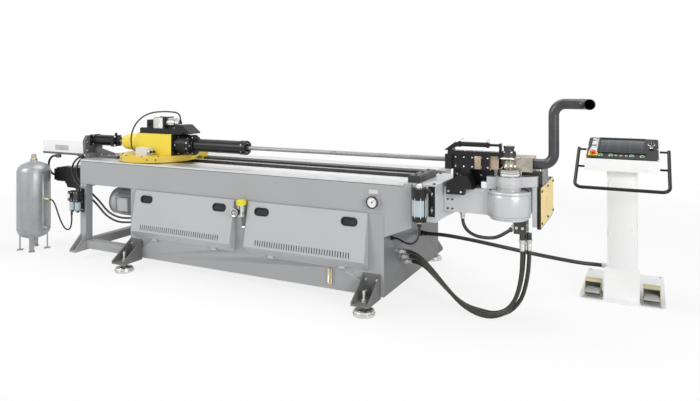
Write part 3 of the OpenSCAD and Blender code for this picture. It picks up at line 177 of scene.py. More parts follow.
def make_moulded_group():
    """Moulded plastic or rubber: a fine pebble texture and a thin film of dust."""
    tree, given = new_group("moulded_skin", Colour=(0.03, 0.03, 0.03, 1), Roughness=0.5, Grain=900.0, Dust=0.1)
    film_tone = (0.25, 0.24, 0.22, 1)
    film = calc(tree, "MULTIPLY", ramp(tree, noise(tree, 12, 5, 0.65), 0.42, 0.7), given["Dust"])
    rough = calc(tree, "ADD", given["Roughness"], calc(tree, "MULTIPLY", film, 0.6), clamp=True)
    return close_group(tree, mix_colour(tree, film, given["Colour"], film_tone), rough,
                       noise(tree, given["Grain"], 2))


PAINT, METAL, MOULDED = make_paint_group(), make_metal_group(), make_moulded_group()


def new_material(name):
    """A new material, its tree and its Principled shader."""
    made = bpy.data.materials.new(name)
    made.use_nodes = True
    return made, made.node_tree, made.node_tree.nodes["Principled BSDF"]


def finish(name, group, colour, roughness, metallic=0.0, coat=0.0, shine=0.5, slot=None, **values):
    """A shared group in a Principled shader, with this finish's own values; the slot given is not used."""
    made, tree, shader = new_material(name)
    look = add(tree, "ShaderNodeGroup", node_tree=group)
    for label, value in dict(values, Colour=colour, Roughness=roughness).items():
        value = value + (1,) if label in ("Colour", "Stain") else value
        look.inputs[label.replace("_", " ")].default_value = value
    relief = add(tree, "ShaderNodeBump", in_Strength=0.35, in_Distance=0.0002, in_Height=look.outputs["Height"])
    for label, value in (("Base Color", look.outputs["Colour"]), ("Roughness", look.outputs["Roughness"]),
                         ("Normal", relief.outputs["Normal"]), ("Metallic", metallic), ("Coat Weight", coat),
                         ("Specular IOR Level", shine)):
        wire(tree, shader.inputs[label], value)
    return made

MACHINE_GREY = finish("machine_grey", PAINT, (0.355, 0.362, 0.37), 0.40, Drift=0.08, Dust=0.2)
# A darker copy of the machine grey for the cabinet's end faces: painted shade on the side the lamps light less
END_SHADE_GREY = finish("end_painted_shade_grey", PAINT, (0.165, 0.169, 0.175), 0.42, Drift=0.08, Dust=0.2)
DOOR_GREY = finish("door_grey", PAINT, (0.455, 0.465, 0.475), 0.36, Drift=0.08)
BED_GREY = finish("bed_grey", PAINT, (0.37, 0.378, 0.385), 0.36, Drift=0.08)
FRAME_GREY = finish("frame_grey", PAINT, (0.125, 0.128, 0.131), 0.42, Drift=0.10, Dust=0.3)
HEAD_GREY = finish("head_grey", PAINT, (0.56, 0.57, 0.582), 0.34)
DRUM_SILVER = finish("drum_silver", PAINT, (0.54, 0.545, 0.555), 0.32, metallic=0.25, Drift=0.05)
COVER_GREY = finish("cover_grey", PAINT, (0.90, 0.905, 0.91), 0.36)
MOTOR_GREY = finish("motor_grey", PAINT, (0.49, 0.50, 0.505), 0.42, Peel=350.0)
SAFETY_YELLOW = finish("safety_yellow", PAINT, (0.86, 0.68, 0.045), 0.32, coat=0.25, Drift=0.12)
PLATE_YELLOW = finish("plate_yellow", PAINT, (0.74, 0.54, 0.055), 0.34, coat=0.2, Drift=0.14, Dust=0.0)
GUARD_YELLOW = finish("guard_yellow", PAINT, (0.83, 0.60, 0.14), 0.36, coat=0.15, Drift=0.08)
CONSOLE_WHITE = finish("console_white", PAINT, (0.86, 0.87, 0.87), 0.34, slot="console_paint", Drift=0.03, Dust=0.06)
BLACK_STEEL = finish("black_steel", PAINT, (0.010, 0.010, 0.011), 0.30, shine=0.3, slot="black_steel", Peel=420.0,
                     Dust=0.05)
PEDAL_SAND = finish("pedal_sand", PAINT, (0.74, 0.64, 0.36), 0.5, Dust=0.3)

TANK_SILVER = finish("tank_silver", METAL, (0.36, 0.365, 0.375), 0.42, metallic=0.6, Stain=(0.19, 0.19, 0.2),
                     Lines=60.0, Direction=(1, 1, 0.05))
GROUND_STEEL = finish("ground_steel", METAL, (0.56, 0.55, 0.53), 0.26, metallic=1.0, slot="tool_steel",
                      Stain=(0.20, 0.17, 0.14), Stain_amount=0.35)
DIE_BRONZE = finish("die_bronze", METAL, (0.46, 0.37, 0.28), 0.32, metallic=0.9, slot="tool_steel",
                    Stain=(0.12, 0.085, 0.06), Stain_amount=0.5, Lines=180.0)
BLUED_STEEL = finish("blued_steel", METAL, (0.075, 0.072, 0.072), 0.30, metallic=0.8, slot="black_steel",
                     Stain=(0.03, 0.027, 0.025), Stain_amount=0.5, Lines=140.0)
RAIL_STEEL = finish("rail_steel", METAL, (0.055, 0.055, 0.058), 0.36, metallic=0.6, Stain=(0.025, 0.024, 0.023),
                    Stain_amount=0.4, Lines=40.0)
ROD_STEEL = finish("rod_steel", METAL, (0.26, 0.26, 0.265), 0.34, metallic=0.55, Stain=(0.12, 0.11, 0.10), Lines=50.0)
LIP_STEEL = finish("lip_steel", METAL, (0.70, 0.70, 0.70), 0.36, metallic=0.9, Stain=(0.36, 0.35, 0.33),
                   Stain_amount=0.25, Lines=40.0)
ZINC = finish("zinc_plate", METAL, (0.66, 0.66, 0.63), 0.30, metallic=0.9, slot="zinc_steel",
              Stain=(0.35, 0.34, 0.31), Lines=120.0, Direction=(1, 1, 1))
DIE_STEEL = finish("die_steel", METAL, (0.46, 0.43, 0.38), 0.16, metallic=1.0, Stain=(0.16, 0.12, 0.09),
                   Stain_amount=0.45, Lines=160.0)
CHROME = finish("chrome", METAL, (0.80, 0.80, 0.80), 0.10, metallic=1.0, slot="gauge_steel", Stain=(0.5, 0.5, 0.5),
                Stain_amount=0.1)
BRASS = finish("brass_olive", METAL, (0.70, 0.55, 0.24), 0.28, metallic=1.0, slot="zinc_steel",
               Stain=(0.3, 0.2, 0.08))
PIPE_STEEL = finish("pipe_steel", METAL, (0.075, 0.075, 0.08), 0.30, metallic=0.75, Stain=(0.028, 0.028, 0.03),
                    Stain_amount=0.5)
PEDAL_GREY = finish("pedal_grey", METAL, (0.42, 0.43, 0.41), 0.42, metallic=0.3, Lines=200.0)

PANEL_GREY = finish("panel_grey", MOULDED, (0.014, 0.015, 0.016), 0.42, shine=0.2, Dust=0.03)
BLACK_PLASTIC = finish("black_plastic", MOULDED, (0.012, 0.012, 0.013), 0.40, shine=0.3, slot="black_plastic",
                       Dust=0.06)
# Near-black for painted shade: it fills the covers' and box's slots and vents, the louvres' end walls, the doors'
# sunk grips and the sheets behind the louvres, and darkens the bed's joints as shade down in their grooves
PAINTED_SHADE_BLACK = finish("painted_shade_black", MOULDED, (0.03, 0.031, 0.033), 0.7, slot="black_plastic", Dust=0.04)
BRAIDED_HOSE = finish("braided_hose", MOULDED, (0.024, 0.023, 0.018), 0.26, Grain=420.0, Dust=0.05)
HOSE_RUBBER = finish("hose_rubber", MOULDED, (0.014, 0.014, 0.014), 0.40, Grain=260.0, Dust=0.05)
BOWL_CLEAR = finish("bowl_clear", MOULDED, (0.40, 0.50, 0.54), 0.10, coat=0.6, Grain=60.0, Dust=0.05)
DIAL_WHITE = finish("dial_white", MOULDED, (0.82, 0.82, 0.80), 0.25, slot="console_paint", Grain=300.0, Dust=0.03)
OIL_AMBER = finish("oil_amber", MOULDED, (0.55, 0.42, 0.10), 0.08, coat=0.8, slot="filter_bowl", Grain=80.0)
SWIVEL_YELLOW = finish("swivel_yellow", MOULDED, (0.80, 0.72, 0.02), 0.35)
PALE_KEY = finish("pale_key", MOULDED, (0.70, 0.72, 0.74), 0.35, slot="console_paint", Dust=0.04)
GREEN_BUTTON = finish("green_button", MOULDED, (0.02, 0.36, 0.09), 0.25, coat=0.5)
RED_BUTTON = finish("red_button", MOULDED, (0.62, 0.012, 0.01), 0.25, coat=0.5)
STOP_YELLOW = finish("stop_yellow", MOULDED, (0.86, 0.62, 0.01), 0.35)
AMBER_LAMP = finish("amber_lamp", MOULDED, (0.80, 0.30, 0.02), 0.25, coat=0.5, slot="safety_yellow")


def make_screen_glass():
    """The lit screen: a dark drawing area with a pale grid, and panes of values in muted colours."""
    made, tree, shader = new_material("screen_glass")
    panes = add(tree, "ShaderNodeTexBrick", offset=0.0, in_Vector=on_object(tree), in_Color1=(0.010, 0.020, 0.028, 1),
                in_Color2=(0.022, 0.027, 0.030, 1), in_Mortar=(0.05, 0.055, 0.055, 1), in_Scale=9.0,
                in_Mortar_Size=0.02, in_Brick_Width=0.7, in_Row_Height=0.28)
    for label, value in (("Base Color", panes.outputs["Color"]), ("Emission Color", panes.outputs["Color"]),
                         ("Emission Strength", 0.25), ("Roughness", 0.12), ("Specular IOR Level", 0.25)):
        wire(tree, shader.inputs[label], value)
    return made


SCREEN_GLASS = make_screen_glass()

# ---- hoses and cables: the routes of the CAD solids, in millimetres ----

HYDRAULIC = [
    [(40, 230, 372), (90, 230, 372), (175, 224, 352), (280, 210, 275), (395, 195, 165), (510, 180, 68),
     (620, 172, 22), (720, 170, 18), (815, 178, 60), (880, 192, 160), (912, 206, 300), (920, 212, 430),
     (920, 212, 540)],
    [(40, 290, 320), (90, 290, 320), (175, 282, 302), (280, 265, 228), (395, 245, 130), (510, 226, 52),
     (625, 214, 20), (730, 210, 17), (835, 214, 58), (910, 224, 150), (948, 236, 290), (960, 245, 430),
     (960, 245, 540)],
    [(40, 350, 268), (90, 350, 268), (175, 341, 250), (280, 322, 180), (395, 297, 95), (510, 273, 35),
     (625, 256, 18), (730, 250, 18), (815, 250, 60), (875, 254, 155), (909, 260, 295), (920, 264, 430),
     (920, 264, 540)]]
NECK = [(486, 300, 672), (486, 300, 640), (494, 298, 600), (520, 292, 562), (562, 284, 538), (610, 275, 528),
        (665, 265, 528), (720, 255, 537), (760, 247, 554), (795, 240, 577), (836, 236, 606)]
CONDUIT = [(40, 700, 400), (100, 700, 400), (220, 704, 402), (420, 718, 386), (660, 755, 350), (870, 850, 300),
           (1065, 985, 245), (1220, 1070, 212), (1310, 1100, 205), (1360, 1100, 205)]
TANK = [(-3490, 0, 500), (-3455, 0, 500), (-3417, -4, 485), (-3380, -8, 445), (-3340, -14, 382),
        (-3290, -21, 312), (-3234, -29, 262), (-3177, -37, 249), (-3135, -44, 275), (-3114, -49, 323),
        (-3110, -50, 360), (-3110, -50, 395)]
TAIL = [
    [(-3120, 125, 926), (-3155, 125, 926), (-3240, 108, 880), (-3285, 100, 810), (-3275, 98, 730),
     (-3200, 98, 650), (-3090, 100, 570), (-2960, 104, 480), (-2840, 110, 385), (-2700, 112, 342),
     (-2560, 112, 348), (-2480, 112, 360), (-2440, 112, 360)],
    [(-3120, 155, 926), (-3145, 155, 926), (-3196, 140, 898), (-3228, 112, 835), (-3225, 102, 745),
     (-3170, 98, 676), (-3060, 100, 602), (-2935, 106, 515), (-2820, 114, 420), (-2700, 118, 382),
     (-2560, 118, 385), (-2480, 112, 395), (-2440, 112, 395)]]
LOOP = [(-3620, 200, 890), (-3650, 200, 890), (-3697, 200, 877), (-3732, 200, 842), (-3745, 200, 795),
        (-3732, 200, 747), (-3697, 200, 713), (-3650, 200, 700), (-3620, 200, 700)]
FILTER = [(282, -48, 630), (282, -48, 604), (275, -43, 566), (253, -27, 527), (215, 0, 498), (168, 34, 484),
          (122, 68, 482), (84, 98, 486), (50, 118, 488), (20, 118, 488)]
ARCH = [(-2492, 150, 1000), (-2518, 150, 1000), (-2548, 151, 1008), (-2570, 153, 1030), (-2579, 157, 1060),
        (-2588, 165, 1110), (-2588, 178, 1165), (-2568, 192, 1225), (-2527, 205, 1276), (-2470, 217, 1316),
        (-2395, 229, 1342), (-2310, 239, 1353), (-2225, 246, 1355), (-2142, 250, 1350), (-2111, 250, 1342),
        (-2088, 250, 1320), (-2080, 250, 1290), (-2080, 250, 1262)]


def smooth_line(route, steps):
    """A smooth line through a hose's route that keeps its ends straight, in metres."""
    points = [at(*p) for p in route]
    points = [2 * points[0] - points[1]] + points + [2 * points[-1] - points[-2]]
    line = []
    for a, b, c, d in zip(points, points[1:], points[2:], points[3:]):
        before, across, after = ((q - p).length ** 0.5 for p, q in ((a, b), (b, c), (c, d)))
        into = across * ((b - a) / before - (c - a) / (before + across)) + (c - b)
        out = across * ((d - c) / after - (d - b) / (across + after)) + (c - b)
        for i in range(steps):
            t = i / steps
            line.append((2 * t ** 3 - 3 * t * t + 1) * b + (t ** 3 - 2 * t * t + t) * into
                        + (3 * t * t - 2 * t ** 3) * c + (t ** 3 - t * t) * out)
    return line + [points[-2]]


def hose(name, route, diameter, node, body, steps):
    line = smooth_line(route, steps)
    curve = bpy.data.curves.new(name, "CURVE")
    curve.dimensions = "3D"
    curve.bevel_depth = diameter / 2000
    curve.bevel_resolution = 5
    curve.use_fill_caps = True
    spline = curve.splines.new("POLY")
    spline.points.add(len(line) - 1)
    for point, place in zip(spline.points, line):
        point.co = (*place, 1)
    spline.use_smooth = True
    curve.materials.append(BRAIDED_HOSE if node == "hydraulic_hoses" else HOSE_RUBBER)
    made = show(name, curve)
    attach(made, body)
    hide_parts(node)


for number, route in enumerate(HYDRAULIC):
    hose(f"hydraulic_hose_{number + 1}", route, 28, "hydraulic_hoses", "machine", 3)
hose("neck_hose", NECK, 24, "hydraulic_hoses", "machine", 3)
hose("control_conduit_line", CONDUIT, 30, "control_conduit", "machine", 4)
hose("tank_hose", TANK, 14, "air_hoses", "machine", 4)
for number, route in enumerate(TAIL):
    hose(f"tail_hose_{number + 1}", route, 18, "air_hoses", "machine", 3)
hose("cover_conduit", LOOP, 22, "air_hoses", "machine", 4)
hose("filter_hose", FILTER, 14, "air_hoses", "machine", 4)
hose("carriage_arch_cable", ARCH, 14, "carriage_cable", "carriage", 4)

# ---- shaping helpers: lengths in millimetres from the cabinet's front corner ----

def turn(angle, axis):
    return Matrix.Rotation(math.radians(angle), 4, axis)


def facing(direction):
    return Vector(direction).to_track_quat("Z", "Y").to_matrix().to_4x4()


TURNS = {"x": turn(90, "Y"), "y": turn(-90, "X"), "z": Matrix.Identity(4),
         "-x": facing((-1, 0, 0)), "-y": facing((0, -1, 0)), "-z": facing((0, 0, -1))}


def standing(point, axis):
    """A frame at a point whose Z runs along a named axis or a given direction."""
    return Matrix.Translation(Vector(point)) @ (TURNS[axis] if isinstance(axis, str) else facing(axis))


def ease(bm, edges, width, segments=2):
    bmesh.ops.bevel(bm, geom=list(edges), offset=width, offset_type="OFFSET", segments=segments, profile=0.5,
                    affect="EDGES", material=-1, clamp_overlap=True)


def slab(bm, place, size, middle=(0, 0, 0), eased=0.0, segments=2):
    """A block round a middle in a given frame, with its edges eased."""
    made = bmesh.ops.create_cube(bm, size=1, matrix=place @ Matrix.Translation(middle) @ Matrix.Diagonal((*size, 1)))
    if eased:
        ease(bm, {e for v in made["verts"] for e in v.link_edges}, eased, segments)
    return made["verts"]


def brick(bm, low, high, eased=0.0, segments=2):
    """A block between two corners."""
    low, high = Vector(low), Vector(high)
    slab(bm, Matrix.Translation((low + high) / 2), high - low, eased=eased, segments=segments)


def rod(bm, point, axis, length, radius, end_radius=None, sides=24, eased=0.0):
    """A round bar from a point along an axis, tapering to end_radius, with its far rim eased."""
    place = standing(point, axis)
    made = bmesh.ops.create_cone(bm, cap_ends=True, cap_tris=False, segments=sides, radius1=radius,
                                 radius2=radius if end_radius is None else end_radius, depth=length,
                                 matrix=place @ Matrix.Translation((0, 0, length / 2)))
    if eased:
        back = place.inverted()
        far = {v for v in made["verts"] if (back @ v.co).z > length - 0.01}
        ease(bm, {e for v in far for e in v.link_edges if e.other_vert(v) in far}, eased)


def hexagon(bm, point, axis, height, radius, eased=1.0):
    """A hexagon nut or plug, with its far rim eased."""
    rod(bm, point, axis, height, radius, sides=6, eased=eased)


def turned(bm, point, axis, profile, steps=32):
    """A lathe-turned part: a line of (radius, height) pairs spun round the axis."""
    place = standing(point, axis)
    line = [bm.verts.new(place @ Vector((r, 0, z))) for r, z in profile]
    line += [bm.edges.new(pair) for pair in zip(line, line[1:])]
    bmesh.ops.spin(bm, geom=line, cent=place.to_translation(), axis=place.to_3x3() @ Vector((0, 0, 1)),
                   angle=math.tau, steps=steps, use_merge=True)


def collar(bm, point, axis, inner, outer, width, slope=0.0, steps=32, shoulder=None):
    """A turned ring whose rim slopes off at both ends, down to its bore or to a shoulder above it."""
    edge = shoulder or inner
    bore = [(inner, width), (inner, 0)] if shoulder else []
    turned(bm, point, axis, [(edge, 0), (outer, slope), (outer, width - slope), (edge, width), *bore, (edge, 0)],
           steps)


def prism(bm, outline, axis, start, end):
    """An outline in the plane across x or y, pulled from start to end."""
    across = "xy".index(axis)
    face = bm.faces.new([bm.verts.new((start, a, b) if axis == "x" else (a, start, b)) for a, b in outline])
    pulled = bmesh.ops.extrude_face_region(bm, geom=[face])["geom"]
    far = [g for g in pulled if isinstance(g, bmesh.types.BMVert)]
    way = Vector()
    way[across] = end - start
    bmesh.ops.translate(bm, verts=far, vec=way)


def plate(bm, place, width, height, thick, corner, rim=0.0, sink=0.0):
    """A plate with round corners on a given frame; rim and sink press its middle in."""
    verts = slab(bm, place, (width, height, thick), (0, 0, thick / 2))
    up = place.to_3x3() @ Vector((0, 0, 1))
    corners = {e for v in verts for e in v.link_edges
               if abs((e.verts[0].co - e.verts[1].co).normalized().dot(up)) > 0.99}
    ease(bm, corners, corner, 6)
    if sink:
        level = place @ Vector((0, 0, thick))
        top = [f for f in bm.faces if f.normal.dot(up) > 0.99 and (f.calc_center_median() - level).length < 1
               and abs((f.calc_center_median() - level).dot(up)) < 0.01]
        bmesh.ops.inset_region(bm, faces=top, thickness=rim)
        bmesh.ops.translate(bm, verts=list({v for f in top for v in f.verts}), vec=up * -sink)


def cap_screw(bm, point, axis, head, height):
    """A socket cap screw's head, with a shallow hexagon socket."""
    socket = head * 0.45
    rod(bm, point, axis, height, head, sides=16, eased=head * 0.15)
    place = standing(point, axis)
    faces = [f for f in bm.faces if (f.calc_center_median() - place @ Vector((0, 0, height))).length < 0.05]
    if faces:
        bmesh.ops.inset_region(bm, faces=faces, thickness=socket)
        bmesh.ops.translate(bm, verts=list({v for f in faces for v in f.verts}),
                            vec=place.to_3x3() @ Vector((0, 0, -height * 0.45)))


def hex_bolt(bm, point, axis, head, height):
    """A hexagon head on its washer."""
    washer = 1.6
    rod(bm, point, axis, washer, head * 1.35, sides=18)
    rod(bm, standing(point, axis) @ Vector((0, 0, washer)), axis, height, head, head * 0.97, sides=6,
        eased=head * 0.1)


# ---- makers: each gives a call that adds shapes to a piece ----

def many(shape, rows, **settings):
    """One shape for each row of its values."""
    def make(bm):
        for row in rows:
            shape(bm, *row, **settings)
    return make


def each(shape, xs, ys, zs, *values, **settings):
    """One shape at every point of a grid; a plain number stands for a row of one."""
    rows = [row if isinstance(row, (tuple, range)) else (row,) for row in (xs, ys, zs)]
    return many(shape, [(point, *values) for point in itertools.product(*rows)], **settings)


def ring(shape, centre, across, radius, angles, axis, *values, **settings):
    """One shape at each angle round an x or z axis; the axis "out" points it outwards."""
    rows = []
    for angle in map(math.radians, angles):
        out = (math.cos(angle), math.sin(angle))
        out = (*out, 0) if across == "z" else (0, *out)
        rows.append((tuple(c + radius * o for c, o in zip(centre, out)), out if axis == "out" else axis, *values))
    return many(shape, rows, **settings)


def spokes(place, axis, angles, size, middle, eased=0.0, segments=2):
    """One block at each angle round an axis of a frame, or of a point."""
    place = place if isinstance(place, Matrix) else Matrix.Translation(place)
    return many(slab, [(place @ turn(angle, axis), size, middle, eased, segments) for angle in angles])


def bricks(*corners, **settings):
    return many(brick, corners, **settings)


BODIES = {node: body for body, names in frame["record"]["behaviour"]["bodies"].items() for node in names}


def made_object(bm, name, finishes, node, angle=35):
    """A shape as a smooth-shaded object with its finishes, on the body of the CAD node that carries it."""
    mesh = bpy.data.meshes.new(name)
    bm.to_mesh(mesh)
    bm.free()
    for one in finishes:
        mesh.materials.append(one)
    mesh.shade_smooth()
    mesh.set_sharp_from_angle(angle=math.radians(angle))
    made = show(name, mesh)
    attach(made, BODIES[node])
    return made


def piece(name, node, look, *makers, angle=35, slot=None):
    """A new piece on a CAD node; the slot given is not used."""
    bm = bmesh.new()
    for make in makers:
        make(bm)
    bmesh.ops.remove_doubles(bm, verts=bm.verts, dist=0.002)
    bmesh.ops.recalc_face_normals(bm, faces=bm.faces)
    bmesh.ops.transform(bm, matrix=Matrix.Translation(-CENTRE) @ Matrix.Scale(0.001, 4), verts=bm.verts)
    made_object(bm, name, [look], node, angle)


def dressed(node, look, bevel=1.5, extra=()):
    """A CAD node's shape with its edges eased; extra holds (finish, test) pairs for faces of another finish."""
    bm = bmesh.new()
    bm.from_mesh(nodes[node].data)
    bm.transform(nodes[node].matrix_world)
    bmesh.ops.remove_doubles(bm, verts=bm.verts, dist=0.000005)
    bmesh.ops.dissolve_limit(bm, angle_limit=math.radians(0.5), verts=bm.verts, edges=bm.edges)
    for number, (_, test) in enumerate(extra):
        for face in bm.faces:
            if test((face.calc_center_median() + CENTRE) * 1000, face.normal):
                face.material_index = number + 1
    made = made_object(bm, node + "_finished", [look, *(one for one, _ in extra)], node)
    if bevel:
        edge = made.modifiers.new("eased", "BEVEL")
        edge.width = bevel / 1000
        edge.segments = 2
        edge.limit_method = "ANGLE"
        edge.angle_limit = math.radians(40)
        edge.use_clamp_overlap = True
        edge.miter_outer = "MITER_ARC"
        edge.harden_normals = True
    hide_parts(node)

# ---- the CAD nodes' own shapes, with eased edges and their finishes ----

PANEL = Matrix.Translation((1252.5, 900, 1047)) @ Matrix.Rotation(math.atan2(125, 390), 4, "X")
PANEL_BACK = PANEL.inverted()


def within(low, high, place=None):
    """A test for faces whose centre lies between two corners, seen in another frame where one is given."""
    def test(centre, normal):
        spot = place @ centre if place else centre
        return all(a <= b <= c for a, b, c in zip(low, spot, high))
    return test


def louvre_shade_walls(centre, normal):
    """The end walls of the louvres' slots, which take black painted shade."""
    return 344 < centre.z < 400 and abs(normal.x) > 0.9 and -75 < centre.y < -40


def guard_sides(centre, normal):
    """The pedal guards' bases, side walls and front edges; their tops and backs keep the sand paint."""
    return centre.z < 23 or (centre.z < 120 and (abs(normal.x) > 0.9 or normal.y < -0.9))


DOORS = {"door_left": (-2350, 1055), "door_right": (-1160, 1036)}
PULLS = [x for left, width in DOORS.values() for x in (left + 138, left + width - 138)]


def pull_cup(centre, normal):
    """The walls and floors of the pulls, which stand square in the door's leaning skin."""
    upright = abs(normal.y) < 0.05 or normal.y < -0.995
    return upright and 574 < centre.z < 642 and min(abs(centre.x - x) for x in PULLS) < 66


for node, look, bevel in (
        ("bed_beam", BED_GREY, 2), ("foot_brackets", FRAME_GREY, 1.5), ("levelling_feet", ZINC, 1.5),
        ("end_stand", MACHINE_GREY, 2), ("guide_rails", RAIL_STEEL, 1),
        ("pump_motor", MOTOR_GREY, 0), ("hydraulic_pump", BLUED_STEEL, 1.5), ("valve_knob", BLACK_PLASTIC, 0),
        ("head_bolster", HEAD_GREY, 2), ("head_beam", HEAD_GREY, 2), ("drum_housing", DRUM_SILVER, 2),
        ("swivel_manifold", BLUED_STEEL, 1.5), ("pressure_slide", BLACK_STEEL, 2), ("tie_cylinder", BLACK_STEEL, 1),
        ("tie_bar", BLACK_STEEL, 2), ("arm_casting", DRUM_SILVER, 2), ("arm_side_plate", BLACK_STEEL, 1.5),
        ("arm_guard", GUARD_YELLOW, 0), ("bend_die", DIE_STEEL, 1.5), ("die_post", BLUED_STEEL, 1.5),
        ("clamp_slide", BLUED_STEEL, 2), ("clamp_die", DIE_BRONZE, 1.5), ("sample_pipe", PIPE_STEEL, 0),
        ("pipe_tail", PIPE_STEEL, 0), ("carriage_plate", PLATE_YELLOW, 2), ("chuck_collar", BLACK_STEEL, 2),
        ("nose_tube", BLACK_STEEL, 1), ("collet", GROUND_STEEL, 1), ("mandrel_support", FRAME_GREY, 2),
        ("mandrel_cylinder", BLACK_STEEL, 1.5), ("mandrel_rod", ROD_STEEL, 0), ("mandrel_cover", COVER_GREY, 2.5),
        ("feed_motor", BLACK_STEEL, 2), ("air_tank", TANK_SILVER, 0), ("console_stand", CONSOLE_WHITE, 2),
        ("console_box", CONSOLE_WHITE, 3), ("push_buttons", GREEN_BUTTON, 0), ("emergency_stop", RED_BUTTON, 0),
        ("selector_knob", BLACK_PLASTIC, 0.8), ("handrail", BLACK_STEEL, 0),
        ("pedal_left", PEDAL_GREY, 0), ("pedal_right", PEDAL_GREY, 0)):
    dressed(node, look, bevel)

for node in DOORS:
    dressed(node, DOOR_GREY, 0, extra=[(PAINTED_SHADE_BLACK, louvre_shade_walls), (BLACK_PLASTIC, pull_cup)])
# The cabinet's +x end faces take the darker grey as painted shade
dressed("cabinet_shell", MACHINE_GREY, 0, extra=[(END_SHADE_GREY, lambda c, n: n.x > 0.9 and c.x > -5)])
dressed("pedal_guards", PEDAL_SAND, 0, extra=[(PEDAL_GREY, guard_sides)])
dressed("oil_gauges", LIP_STEEL, 0, extra=[(CHROME, within((-450, -30, 120), (-400, 1, 260)))])
dressed("filler_breather", ZINC, 0, extra=[(SWIVEL_YELLOW, within((-1300, -100, 650), (-1100, 0, 700))),
                                           (FRAME_GREY, within((-1197, -100, 460), (-1150, 0, 575)))])
dressed("wiper_die", BLACK_STEEL, 2, extra=[(DIE_BRONZE, within((699, 0, 1000), (900, 400, 1120)))])
dressed("pressure_die", BLUED_STEEL, 1.5, extra=[(DIE_BRONZE, within((826, 0, 1000), (829, 500, 1120)))])
dressed("carriage_gearbox", SAFETY_YELLOW, 3, extra=[(BLUED_STEEL, lambda c, n: n.x > 0.9 and c.x > -2140)])
dressed("spindle_drive", BLACK_STEEL, 2, extra=[(ZINC, within((-2381, 0, 1204), (-2261, 500, 1320))),
                                                (GROUND_STEEL, within((-2200, 0, 1215), (-2100, 330, 1300)))])
dressed("cable_junction", PALE_KEY, 2, extra=[(BLACK_PLASTIC, within((-2349, 100, 960), (-2300, 200, 1040)))])
dressed("left_filter_unit", BLUED_STEEL, 1, extra=[(BOWL_CLEAR, within((-3130, -80, 441), (-2990, -20, 529)))])
dressed("right_filter_unit", BLACK_PLASTIC, 0, extra=[(BOWL_CLEAR, within((230, -100, 691), (323, 10, 833))),
                                                      (CHROME, within((230, -100, 895), (323, 10, 925)))])
dressed("control_panel", PANEL_GREY, 0, extra=[
    (PALE_KEY, within((30, 195, 5.9), (68, 380, 12), PANEL_BACK)),
    (STOP_YELLOW, within((10, 40, 6.1), (90, 120, 12), PANEL_BACK)),
    (BLACK_PLASTIC, within((70, 100, 6.1), (430, 400, 12), PANEL_BACK))])

# ---- bending head, and the fittings of all hoses ----

# Axes that many pieces stand round: (x, y) of the bend die and the tank, (y, z) of the pipe and the pump motor
DIE_AXIS = (830, 224)
PIPE_AXIS = (300, 1060)
MOTOR_AXIS = (300, 493)
TANK_AXIS = (-3700, 0)

# A crimped sleeve's outline: (height over the hose, share of the sleeve's length)
CRIMPS = ((0.2, 0), (3.5, 0), (3.5, 0.3), (2, 0.36), (3.3, 0.42), (3.3, 0.6), (2, 0.66), (3, 0.72), (2.6, 1),
          (0.2, 1), (0.2, 0))


def fitting(name, node, point, axis, radius, length, look):
    """A hexagon nut on the port and a crimped sleeve over a hose's end."""
    place = standing(point, axis)
    sleeve = [(radius + rise, length * share) for rise, share in CRIMPS]
    piece(name, node, look, many(turned, [(point, axis, sleeve, 24)]),
          many(hexagon, [(place @ Vector((0, 0, -14)), axis, 14, radius + 9.5, 1.5)]),
          many(rod, [(place @ Vector((0, 0, -0.5)), axis, 3, radius + 6)]), slot="zinc_steel")


for name, node, points, axis, radius, length, look in (
        ("cabinet_hose_fitting", "cabinet_shell", [route[0] for route in HYDRAULIC], "x", 14, 44, ZINC),
        ("drum_hose_fitting", "swivel_manifold", [route[-1] for route in HYDRAULIC], "-z", 14, 60, ZINC),
        ("neck_hose_fitting", "head_beam", [NECK[0]], "-z", 12, 30, ZINC),
        ("conduit_gland", "cabinet_shell", [CONDUIT[0]], "x", 15, 40, BLACK_PLASTIC),
        ("filter_hose_gland", "cabinet_shell", [FILTER[-1]], "x", 7, 16, BLACK_PLASTIC),
        ("filter_drain_fitting", "right_filter_unit", [FILTER[0]], "-z", 7, 22, BLUED_STEEL),
        ("tank_hose_fitting", "air_tank", [TANK[0]], "x", 7, 26, BRASS),
        ("tail_hose_fitting", "mandrel_support", [route[0] for route in TAIL], "-x", 9, 20, ZINC),
        ("tail_hose_gland", "cabinet_shell", [route[-1] for route in TAIL], "-x", 9, 20, ZINC),
        ("cover_conduit_gland", "mandrel_cover", [LOOP[0]], "-x", 11, 22, BLACK_PLASTIC),
        ("motor_conduit_gland", "feed_motor", [LOOP[-1]], "-x", 11, 22, BLACK_PLASTIC),
        ("arch_cable_gland", "cable_junction", [ARCH[0]], "-x", 7, 18, BLACK_PLASTIC),
        ("arch_cable_post", "cable_junction", [ARCH[-1]], "z", 7, 22, BLACK_PLASTIC)):
    for number, point in enumerate(points):
        ending = f"_{number + 1}" if len(points) > 1 else ""
        fitting(name + ending, node, point, axis, radius, length, look)

# Socket screws of the bolster, the neck and the drum's lower flange
piece("head_screws", "head_bolster", BLUED_STEEL, each(cap_screw, (226, 352), (60, 592), 907, "z", 11, 9),
      each(cap_screw, (226, 296), 28, (690, 868), "-y", 9, 7),
      each(cap_screw, (404, 436), 210, (722, 788, 854), "-y", 7, 6),
      ring(cap_screw, (*DIE_AXIS, 688), "z", 108, range(0, 181, 45), "-z", 7, 6))
# The machined tongue under the slides and the joint plate against the bolster
piece("neck_trim", "head_beam", LIP_STEEL,
      bricks(((374.5, 204, 701), (388, 210.4, 875)), ((560, 232, 876), (676, 480, 879)), eased=1),
      slot="frame_paint")
